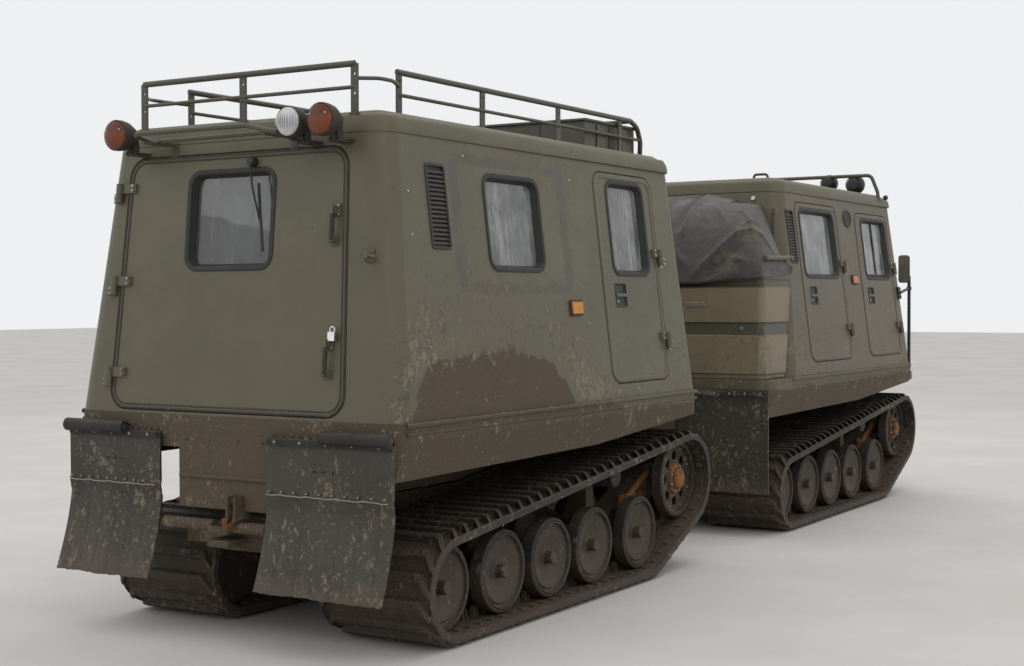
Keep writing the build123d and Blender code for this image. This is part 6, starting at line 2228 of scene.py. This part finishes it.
class CARRIER_OT_mirrors(bpy.types.Operator):
    """Mirror heads on stalks that stand on the nose guard, tied to the cab's sides."""
    bl_idname = "carrier.mirrors"
    bl_label = "Mirrors"

    def execute(self, context):
        low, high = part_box("mirrors")
        stalk_x = high.x - 0.013
        stalk_y = 0.873
        x, z = st(6.802), 1.562
        for side_name, side in SIDES:
            face = side_face(FRONT_CAB, side)
            form = Form()
            form.block((x - 0.028, 1.515, 0.0), (x + 0.028, 1.609, 0.014), place=face.at)
            for dx, dz in ((-0.018, 1.532), (-0.018, 1.592), (0.018, 1.532), (0.018, 1.592)):
                form.stud(face.at(x + dx, dz, 0.014), face.normal, 0.006, 0.005)
            stalk = [Vector((stalk_x, side * stalk_y, low.z)), Vector((stalk_x, side * stalk_y, 1.700))]
            form.tube(stalk, 0.013, 14)
            tie = [face.at(x, z, 0.016), face.at(x + 0.10, z + 0.016, 0.016),
                   Vector((stalk_x, side * stalk_y, z + 0.038))]
            form.tube(rounded(tie, 0.05), 0.0105, 12)
            form.lathe([(0.013, -0.016), (0.019, -0.014), (0.019, 0.014), (0.013, 0.016)],
                       (stalk_x, side * stalk_y, z + 0.038), (0, 0, 1), 14)
            form.lathe([(0.013, 0.0), (0.026, 0.0), (0.026, 0.007), (0.013, 0.009)],
                       (stalk_x, side * stalk_y, low.z), (0, 0, 1), 16)
            centre = Vector((stalk_x - 0.0145, side * 0.840, 1.755))
            rings = []
            for out, half_y, half_z in ((0.021, 0.022, 0.080), (0.016, 0.036, 0.100), (0.004, 0.043, 0.108),
                                        (-0.016, 0.045, 0.110), (-0.021, 0.042, 0.107)):
                corners = [centre + Vector((out, dy, dz)) for dy, dz in
                           ((-half_y, -half_z), (half_y, -half_z), (half_y, half_z), (-half_y, half_z))]
                rings.append(rounded(corners, 0.022, closed=True, steps=5))
            form.skin(rings)
            glass_ring = [centre + Vector((-0.0215, dy, dz)) for dy, dz in
                          ((-0.038, -0.103), (0.038, -0.103), (0.038, 0.103), (-0.038, 0.103))]
            loop = rounded(glass_ring, 0.018, closed=True, steps=5)
            form.skin([loop, [p + Vector((-0.0012, 0, 0)) for p in loop]], slot=1)
            form.make("mirror_" + side_name, ["mirror_black", "mirror_glass"], "front_car", 0.0015,
                      slot="mirror_black")
            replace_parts(bpy.data.objects["mirror_" + side_name], "mirrors")
        return {"FINISHED"}


# Nose guard: the tubes' centres
GUARD_X = NOSE_X + 0.112
GUARD_HALF = 0.640
GUARD_LOW_HALF = 0.890
GUARD_LOW = 0.900
GUARD_TOP = 1.560
GUARD_MIDDLE = 1.235


class CARRIER_OT_guard_bar(bpy.types.Operator):
    """Bent tube guard in front of the nose with its brackets."""
    bl_idname = "carrier.guard_bar"
    bl_label = "Nose guard"

    def execute(self, context):
        x, half = GUARD_X, GUARD_HALF
        form = Form()
        loop = [Vector((x, y, z)) for y, z in
                ((-half, GUARD_LOW), (-half, GUARD_TOP), (half, GUARD_TOP), (half, GUARD_LOW))]
        form.tube(rounded(loop, 0.09), 0.0265, 16)
        form.tube([Vector((x, y, GUARD_LOW)) for y in (-GUARD_LOW_HALF, GUARD_LOW_HALF)], 0.0275, 16)
        for y in (-0.24, 0.24):
            form.tube([Vector((x, y, GUARD_LOW + 0.005)), Vector((x, y, GUARD_TOP - 0.005))], 0.018, 12)
        form.tube([Vector((x, -half, GUARD_MIDDLE)), Vector((x, half, GUARD_MIDDLE))], 0.018, 12)
        for side in (-1, 1):
            y = side * half
            form.block((NOSE_X, y - 0.013, 0.962), (x, y + 0.013, 0.998))
            form.block((NOSE_X - 0.024, y - 0.013, 1.452), (x, y + 0.013, 1.478))
            for z in (0.980, 1.465):
                form.stud((x - 0.045, y + side * 0.013, z), (0, side, 0), 0.010, 0.008)
        piece = form.make("nose_guard", ["rack_paint"], "front_car", 0.001, slot="chassis_paint")
        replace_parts(piece, "guard_bar")
        return {"FINISHED"}


# Nose: headlamps, their ribbed lenses and the grille's slots
HEADLAMP = (0.560, 1.180)
LENS_RADIUS = 0.080
RIB_REACH = 0.074          # half length of the middle rib
RIB_APART = 0.0135
GRILLE = (-0.370, 0.370, 1.040, 1.410)
SLOT_FIRST = 1.085
SLOT_APART = 0.056
SLOT_HALF = 0.014


def lens_rib(face, centre, across):
    """Upright rib that follows a headlamp's domed lens."""
    reach = math.sqrt(max(0.0, RIB_REACH ** 2 - across * across))
    points = []
    for k in range(-3, 4):
        up = k * reach / 3
        inside = max(0.0, 1 - (across / LENS_RADIUS) ** 2 - (up / LENS_RADIUS) ** 2)
        points.append(centre + Vector((0, across, up)) + face.normal * (0.036 + 0.011 * math.sqrt(inside)))
    return points


class CARRIER_OT_nose_fittings(bpy.types.Operator):
    """Headlamps, grille, wipers and indicator lamps of the nose."""
    bl_idname = "carrier.nose_fittings"
    bl_label = "Headlamps, grille and wipers"

    def execute(self, context):
        face = nose_face(FRONT_CAB)
        form = Form()
        for side in (-1, 1):
            spot = face.at(side * HEADLAMP[0], HEADLAMP[1], -0.004)
            form.lathe([(0.095, 0.0), (0.097, 0.030), (0.090, 0.042), (0.082, 0.040), (0.080, 0.0345)],
                       spot, face.normal, 40)
            form.lathe(dome_profile(LENS_RADIUS, 0.035, 0.012, 7), spot, face.normal, 40, slot=1)
            for i in range(-5, 6):
                form.tube(lens_rib(face, spot, i * RIB_APART), 0.0022, 5, slot=1)
            mark = face.at(side * HEADLAMP[0], 1.345, 0.0)
            form.lathe([(0.034, 0.0), (0.034, 0.016), (0.026, 0.030), (0.0, 0.034)], mark, face.normal, 24,
                       slot=2)
        form.make("headlamps", ["chassis_paint", "lens_clear", "marker_amber"], "front_car",
                  slot="lamp_red")
        grille = Form()
        y0, y1, z0, z1 = GRILLE
        grille.block((y0 + 0.010, z0 + 0.010, 0.000), (y1 - 0.010, z1 - 0.010, 0.007), place=face.at)
        for y in (y0, y1 - 0.025):
            grille.block((y, z0, 0.001), (y + 0.025, z1, 0.014), place=face.at)
        slots = [SLOT_FIRST + SLOT_APART * k for k in range(6)]
        edges = [z0] + [z for middle in slots for z in (middle - SLOT_HALF, middle + SLOT_HALF)] + [z1]
        for low, high in zip(edges[0::2], edges[1::2]):
            grille.block((y0 + 0.020, low, 0.001), (y1 - 0.020, high, 0.0135), place=face.at)
        grille.make("grille", ["louvre_black"], "front_car", 0.0015, slot="louvre_black")
        wipers = Form()
        for side in (-1, 1):
            pivot = face.at(side * 0.160, 1.600)
            wipers.lathe([(0, 0.034), (0.014, 0.032), (0.020, 0.0), (0, 0.0)], pivot, face.normal, 16)
            wipers.tube([face.at(side * 0.160, 1.600, 0.030), face.at(side * 0.330, 1.820, 0.022)], 0.005,
                        8)
            wipers.block((-0.006, -0.200, 0.006), (0.006, 0.200, 0.014),
                         place=face.axes(side * 0.330,
                                         1.820) @ Matrix.Rotation(math.radians(-side * 24.0), 4, "Z"))
        wipers.make("wipers", ["mirror_black"], "front_car", 0.001, slot="louvre_black")
        return {"FINISHED"}


# Inside the cabs
def pillow(form, low, high, crown, slot=0, wide=14, place=None):
    """Crowned cushion whose sides pull in between its corners."""
    size = [h - l for l, h in zip(low, high)]
    rings = []
    steps = 12
    for k in range(steps + 1):
        turn = -math.pi / 2 + math.pi * k / steps
        height = 0.5 + 0.5 * math.sin(turn)
        reach = math.cos(turn) ** 0.35 if 0 < k < steps else 0.02
        ring = []
        for j in range(wide * 4):
            side, share = divmod(j, wide)
            t = -1 + 2 * share / wide
            u, v = ((t, -1), (1, t), (-t, 1), (-1, -t))[side]
            pull = 1 - 0.035 * (1 - t * t)
            u, v = u * pull, v * pull
            swell = crown * max(0.0, (1 - u * u) * (1 - v * v)) * (1 if height > 0.5 else 0)
            u *= 1 - (1 - reach) * 0.10
            v *= 1 - (1 - reach) * 0.10
            point = [low[0] + size[0] * (0.5 + u / 2), low[1] + size[1] * (0.5 + v / 2),
                     low[2] + size[2] * height + swell]
            ring.append(place(*point) if place else Vector(point))
        rings.append(ring)
    form.skin(rings, slot)


def cushion(name, low, high, crown, body, turn=None):
    """Padded cushion, set on its base."""
    form = Form()
    pillow(form, low, high, crown, place=turn)
    piece = form.make(name, ["seat_cloth"], body, sharp=60, slot="seat_cloth")
    grow = piece.modifiers.new("Soft", "SUBSURF")
    grow.levels = 1
    grow.render_levels = 1
    return piece


class CARRIER_OT_seats(bpy.types.Operator):
    """Front and rear seats: cushions and backrests on sheet bases."""
    bl_idname = "carrier.seats"
    bl_label = "Seats"

    def execute(self, context):
        for node, x, y, width, head in (("front_seats", 5.560, 0.500, 0.460, 1.750),
                                        ("rear_seats", 4.650, 0.490, 0.480, 1.700)):
            base = Form()
            for side_name, side in SIDES:
                y0, y1 = sorted((side * (y - width / 2), side * (y + width / 2)))
                base.block((st(x) + 0.010, y0 + 0.012, 0.905), (st(x) + 0.420, y1 - 0.012, 1.078))
                base.block((st(x) - 0.098, y0 + 0.03, 1.075), (st(x) - 0.084, y1 - 0.03, head - 0.05))
                cushion(node + "_cushion_" + side_name, (st(x), y0, 1.080), (st(x) + 0.450, y1, 1.160),
                        0.022, "front_car")

                def upright(a, b, w, x=x):
                    return Vector((st(x) - 0.085 + (w - 1.080), b, a))
                cushion(node + "_back_" + side_name, (1.100, y0, 1.080), (head, y1, 1.155), 0.018,
                        "front_car", upright)
            piece = base.make(node + "_bases", ["dash_black"], "front_car", 0.006, slot="seat_cloth")
            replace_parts(piece, node)
        return {"FINISHED"}


class CARRIER_OT_benches(bpy.types.Operator):
    """Long padded benches on sheet boxes along the rear car's sides."""
    bl_idname = "carrier.benches"
    bl_label = "Benches"

    def execute(self, context):
        form = Form()
        for side_name, side in SIDES:
            y0, y1 = sorted((side * 0.425, side * 0.868))
            form.block((st(0.262), y0, 0.905), (st(1.858), y1, 0.975))
            for k in range(3):
                start = 0.262 + k * 0.532
                cushion("bench_cushion_" + side_name + "_" + str(k), (st(start), y0, 0.974),
                        (st(start + 0.528), y1, 1.014), 0.012, "rear_car")
        piece = form.make("bench_boxes", ["inner_lining"], "rear_car", 0.006, slot="seat_cloth")
        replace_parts(piece, "rear_benches")
        return {"FINISHED"}


class CARRIER_OT_dashboard(bpy.types.Operator):
    """Instrument panel with dials, and the steering wheel and its column."""
    bl_idname = "carrier.dashboard"
    bl_label = "Dashboard"

    def execute(self, context):
        low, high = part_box("dashboard")
        form = Form()
        outline = [(low.x + 0.010, low.z), (low.x, low.z + 0.06), (low.x + 0.004, high.z - 0.07),
                   (low.x + 0.05, high.z - 0.008), (high.x - 0.02, high.z), (high.x - 0.004, high.z - 0.03),
                   (high.x - 0.004, low.z)]
        form.prism(outline, lambda a, b, w: Vector((a, w, b)), low.y, high.y)
        form.block((low.x + 0.010, 0.330, high.z - 0.012), (low.x + 0.150, 0.690, high.z + 0.052))
        for y in (0.40, 0.51, 0.62):
            form.lathe([(0.040, 0.0), (0.040, 0.008), (0.034, 0.008), (0.033, 0.003)],
                       (low.x + 0.011, y, high.z + 0.004), (-1, 0, 0), 28)
            form.lathe([(0.033, 0.003), (0.0, 0.003)], (low.x + 0.011, y, high.z + 0.004), (-1, 0, 0), 28,
                       slot=1)
        piece = form.make("instrument_panel", ["dash_black", "dial_white"], "front_car", 0.004,
                          slot="mirror_black")
        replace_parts(piece, "dashboard")
        wheel = Form()
        centre = Vector((low.x - 0.150, 0.500, 1.475))
        axis = Vector((-0.72, 0, 0.69)).normalized()
        u = Vector((0, 1, 0))
        v = axis.cross(u)
        wheel.tube(arc(centre, u, v, 0.205, 0.0, 2 * math.pi * 35 / 36, 35), 0.013, 12, closed=True)
        for k in range(3):
            turn = math.pi / 2 + 2 * math.pi * k / 3
            wheel.tube([centre - axis * 0.020, centre + (u * math.cos(turn) + v * math.sin(turn)) * 0.200],
                       0.008, 8)
        wheel.lathe([(0.0, 0.010), (0.040, 0.006), (0.045, -0.030), (0.026, -0.060), (0.024, -0.300),
                     (0.0, -0.300)], centre, axis, 20)
        wheel.make("steering_wheel", ["dash_black"], "front_car", slot="mirror_black")
        return {"FINISHED"}


class CARRIER_OT_tow_gear(bpy.types.Operator):
    """Clevis and hook on the tow tube, and the footwell's end plate."""
    bl_idname = "carrier.tow_gear"
    bl_label = "Tow gear"

    def execute(self, context):
        form = Form()
        x = st(-0.010)
        for dy in (-0.022, 0.022):
            form.block((x - 0.045, -0.080 + dy - 0.006, 0.560), (x + 0.050, -0.080 + dy + 0.006, 0.668))
        form.tube([Vector((x - 0.010, -0.118, 0.640)), Vector((x - 0.010, -0.042, 0.640))], 0.012, 12,
                  slot=1)
        hook = [Vector((x - 0.010, -0.080, 0.640)), Vector((x - 0.014, -0.080, 0.560)),
                Vector((x - 0.070, -0.080, 0.520)), Vector((x - 0.085, -0.080, 0.575))]
        form.tube(rounded(hook, 0.03), 0.012, 12, slot=1)
        form.make("tow_hook", ["chassis_paint", "rust_iron"], "rear_car", 0.002, slot="chassis_paint")
        plate = Form()
        plate.block((st(-0.004), -0.262, 0.735), (st(0.000), 0.262, 0.930))
        for y in (-0.22, -0.08, 0.08, 0.22):
            plate.stud((st(-0.004), y, 0.905), (-1, 0, 0), 0.008, 0.007)
        plate.block((st(-0.012), -0.262, 0.735), (st(0.000), 0.262, 0.748))
        plate.make("footwell_plate", ["tub_paint", "zinc"], "rear_car", 0.002, slot="chassis_paint")
        return {"FINISHED"}


# Finishes of the nodes that stay
NODE_FINISHES = {
    "cab_paint": ("rear_sides", "rear_front_wall", "rear_door_right", "rear_door_left", "rear_back_wall",
                  "back_door"),
    "roof_paint": ("rear_roof", "front_roof"),
    "front_paint": ("front_sides", "front_back_wall", "front_nose", "fore_door_right", "fore_door_left",
                    "aft_door_right", "aft_door_left"),
    "tub_paint": ("rear_tub", "front_tub"),
    "window_glass": ("rear_windows", "rear_door_glass_right", "rear_door_glass_left",
                     "aft_door_glass_right", "aft_door_glass_left",
                     "fore_door_glass_right", "fore_door_glass_left"),
    "clear_glass": ("back_door_glass", "windscreen"),
    "louvre_black": ("rear_vents", "front_vents"),
    "chassis_paint": ("rear_chassis", "front_chassis", "rear_track_frames", "front_track_frames",
                      "steer_link", "pitch_link", "cylinder_right", "cylinder_left", "tow_coupling"),
    "rod_chrome": ("cylinder_rod_right", "cylinder_rod_left"),
    "engine_iron": ("engine",),
    "dash_black": ("engine_cover",),
}


class CARRIER_OT_paint_nodes(bpy.types.Operator):
    """Give every node that stays its finish."""
    bl_idname = "carrier.paint_nodes"
    bl_label = "Paint and glass"

    def execute(self, context):
        for finish, names in NODE_FINISHES.items():
            for name in names:
                node = bpy.data.objects[name]
                made = finish_of(finish)
                if not node.material_slots:
                    node.data.materials.append(made)
                for slot in node.material_slots:
                    slot.link = "OBJECT"
                    slot.material = made
        return {"FINISHED"}


# Stage
CAMERA_PLACE = Vector((-8.613, -4.644, 1.524))
CAMERA_HEADING = math.radians(31.58)
CAMERA_PITCH = math.radians(1.254)
CAMERA_ROLL = math.radians(0.172)
CAMERA_LENS = 54.4


class CARRIER_OT_stage(bpy.types.Operator):
    """Camera at the photograph's angle, pale floor, soft sky light and four large lamps."""
    bl_idname = "carrier.stage"
    bl_label = "Stage"

    def execute(self, context):
        scene = bpy.context.scene
        scene.view_settings.view_transform = "Standard"
        camera = bpy.data.objects.new("camera", bpy.data.cameras.new("camera"))
        camera.data.lens = CAMERA_LENS
        camera.data.sensor_width = 36.0
        camera.data.clip_end = 200.0
        ahead = Vector((math.cos(CAMERA_HEADING) * math.cos(CAMERA_PITCH),
                        math.sin(CAMERA_HEADING) * math.cos(CAMERA_PITCH), -math.sin(CAMERA_PITCH)))
        right = Vector((math.sin(CAMERA_HEADING), -math.cos(CAMERA_HEADING), 0.0))
        down = ahead.cross(right)
        right, down = (right * math.cos(CAMERA_ROLL) + down * math.sin(CAMERA_ROLL),
                       down * math.cos(CAMERA_ROLL) - right * math.sin(CAMERA_ROLL))
        turn = Matrix((right, -down, -ahead)).transposed().to_4x4()
        camera.matrix_world = Matrix.Translation(CAMERA_PLACE) @ turn
        scene.collection.objects.link(camera)
        scene.camera = camera

        floor_mesh = bpy.data.meshes.new("floor")
        reach = 60.0
        floor_mesh.from_pydata([(-reach, -reach, 0), (reach, -reach, 0), (reach, reach, 0),
                                (-reach, reach, 0)], [], [(0, 1, 2, 3)])
        floor = bpy.data.objects.new("floor", floor_mesh)
        scene.collection.objects.link(floor)
        floor_mesh.materials.append(floor_finish())

        world = bpy.data.worlds.new("sky")
        scene.world = world
        world.use_nodes = True
        world.node_tree.nodes.clear()
        t = Tree(world.node_tree)
        seen = t.node("ShaderNodeLightPath").outputs
        shown = t.most(t.most(seen["Is Camera Ray"], seen["Is Glossy Ray"]), seen["Is Transmission Ray"])
        light = t.node("ShaderNodeBackground")
        t.feed(light.inputs["Color"], (1.0, 0.985, 0.955))
        light.inputs["Strength"].default_value = 0.80
        backdrop = t.node("ShaderNodeBackground")
        t.feed(backdrop.inputs["Color"], (0.86, 0.87, 0.88))
        blend = t.node("ShaderNodeMixShader")
        t.feed(blend.inputs[0], shown)
        t.feed(blend.inputs[1], light.outputs[0])
        t.feed(blend.inputs[2], backdrop.outputs[0])
        t.feed(t.node("ShaderNodeOutputWorld").inputs["Surface"], blend.outputs[0])

        lamps = (("key", (-7.5, -9.0, 8.5), 7.0, 110.0), ("back", (-10.0, 6.0, 7.0), 7.0, 90.0),
                 ("over", (1.0, -1.0, 10.0), 9.0, 180.0), ("far", (9.0, 6.0, 6.0), 6.0, 100.0))
        for name, place, size, power in lamps:
            lamp = bpy.data.lights.new(name, "AREA")
            lamp.shape = "DISK"
            lamp.size = size
            lamp.energy = power
            holder = bpy.data.objects.new(name, lamp)
            holder.location = place
            aim = Vector((0.0, 0.0, 1.1)) - Vector(place)
            holder.rotation_euler = aim.to_track_quat("-Z", "Y").to_euler()
            scene.collection.objects.link(holder)
        return {"FINISHED"}


def floor_finish():
    """Pale matt floor."""
    made, t, shader = new_finish("floor_pale")
    clouds = t.span(t.noise(t.place(), 0.7, 4.0, 0.6), 0.3, 0.7)
    t.feed(shader.inputs["Base Color"], t.mix(clouds, (0.60, 0.59, 0.575), (0.66, 0.655, 0.645)))
    shader.inputs["Roughness"].default_value = 0.85
    return made


# Operators in the order that they are called
OPERATORS = (
    CARRIER_OT_stage,
    CARRIER_OT_paint_nodes,
    CARRIER_OT_window_seals,
    CARRIER_OT_sliding_pane,
    CARRIER_OT_door_beads,
    CARRIER_OT_back_door_beads,
    CARRIER_OT_hinge_bolts,
    CARRIER_OT_door_handles,
    CARRIER_OT_back_door_fittings,
    CARRIER_OT_louvres,
    CARRIER_OT_markers,
    CARRIER_OT_gutters,
    CARRIER_OT_tub_trim,
    CARRIER_OT_roof_rack,
    CARRIER_OT_roof_tray,
    CARRIER_OT_rear_lamps,
    CARRIER_OT_tracks,
    CARRIER_OT_wheels,
    CARRIER_OT_rear_flaps,
    CARRIER_OT_front_flaps,
    CARRIER_OT_stowage_cover,
    CARRIER_OT_lockers,
    CARRIER_OT_bay_struts,
    CARRIER_OT_roof_gear,
    CARRIER_OT_mirrors,
    CARRIER_OT_guard_bar,
    CARRIER_OT_nose_fittings,
    CARRIER_OT_seats,
    CARRIER_OT_benches,
    CARRIER_OT_dashboard,
    CARRIER_OT_tow_gear,
)


class CARRIER_PT_pieces(bpy.types.Panel):
    """Sizes, colours and one button for each group of pieces."""
    bl_idname = "CARRIER_PT_pieces"
    bl_label = "Tracked carrier"
    bl_space_type = "VIEW_3D"
    bl_region_type = "UI"
    bl_category = "Carrier"

    def draw(self, context):
        layout = self.layout
        for name, group in PROPERTY_GROUPS:
            values = getattr(context.scene, name)
            column = layout.column()
            for key in group.__annotations__:
                column.prop(values, key)
        column = layout.column()
        for made in OPERATORS:
            column.operator(made.bl_idname)


def register():
    for name, group in PROPERTY_GROUPS:
        bpy.utils.register_class(group)
        setattr(bpy.types.Scene, name, bpy.props.PointerProperty(type=group))
    for made in OPERATORS:
        bpy.utils.register_class(made)
    bpy.utils.register_class(CARRIER_PT_pieces)


def unregister():
    bpy.utils.unregister_class(CARRIER_PT_pieces)
    for made in reversed(OPERATORS):
        bpy.utils.unregister_class(made)
    for name, group in reversed(PROPERTY_GROUPS):
        delattr(bpy.types.Scene, name)
        bpy.utils.unregister_class(group)


def main():
    register()
    for made in OPERATORS:
        getattr(bpy.ops.carrier, made.bl_idname.partition(".")[2])()


if __name__ == "__main__":
    main()
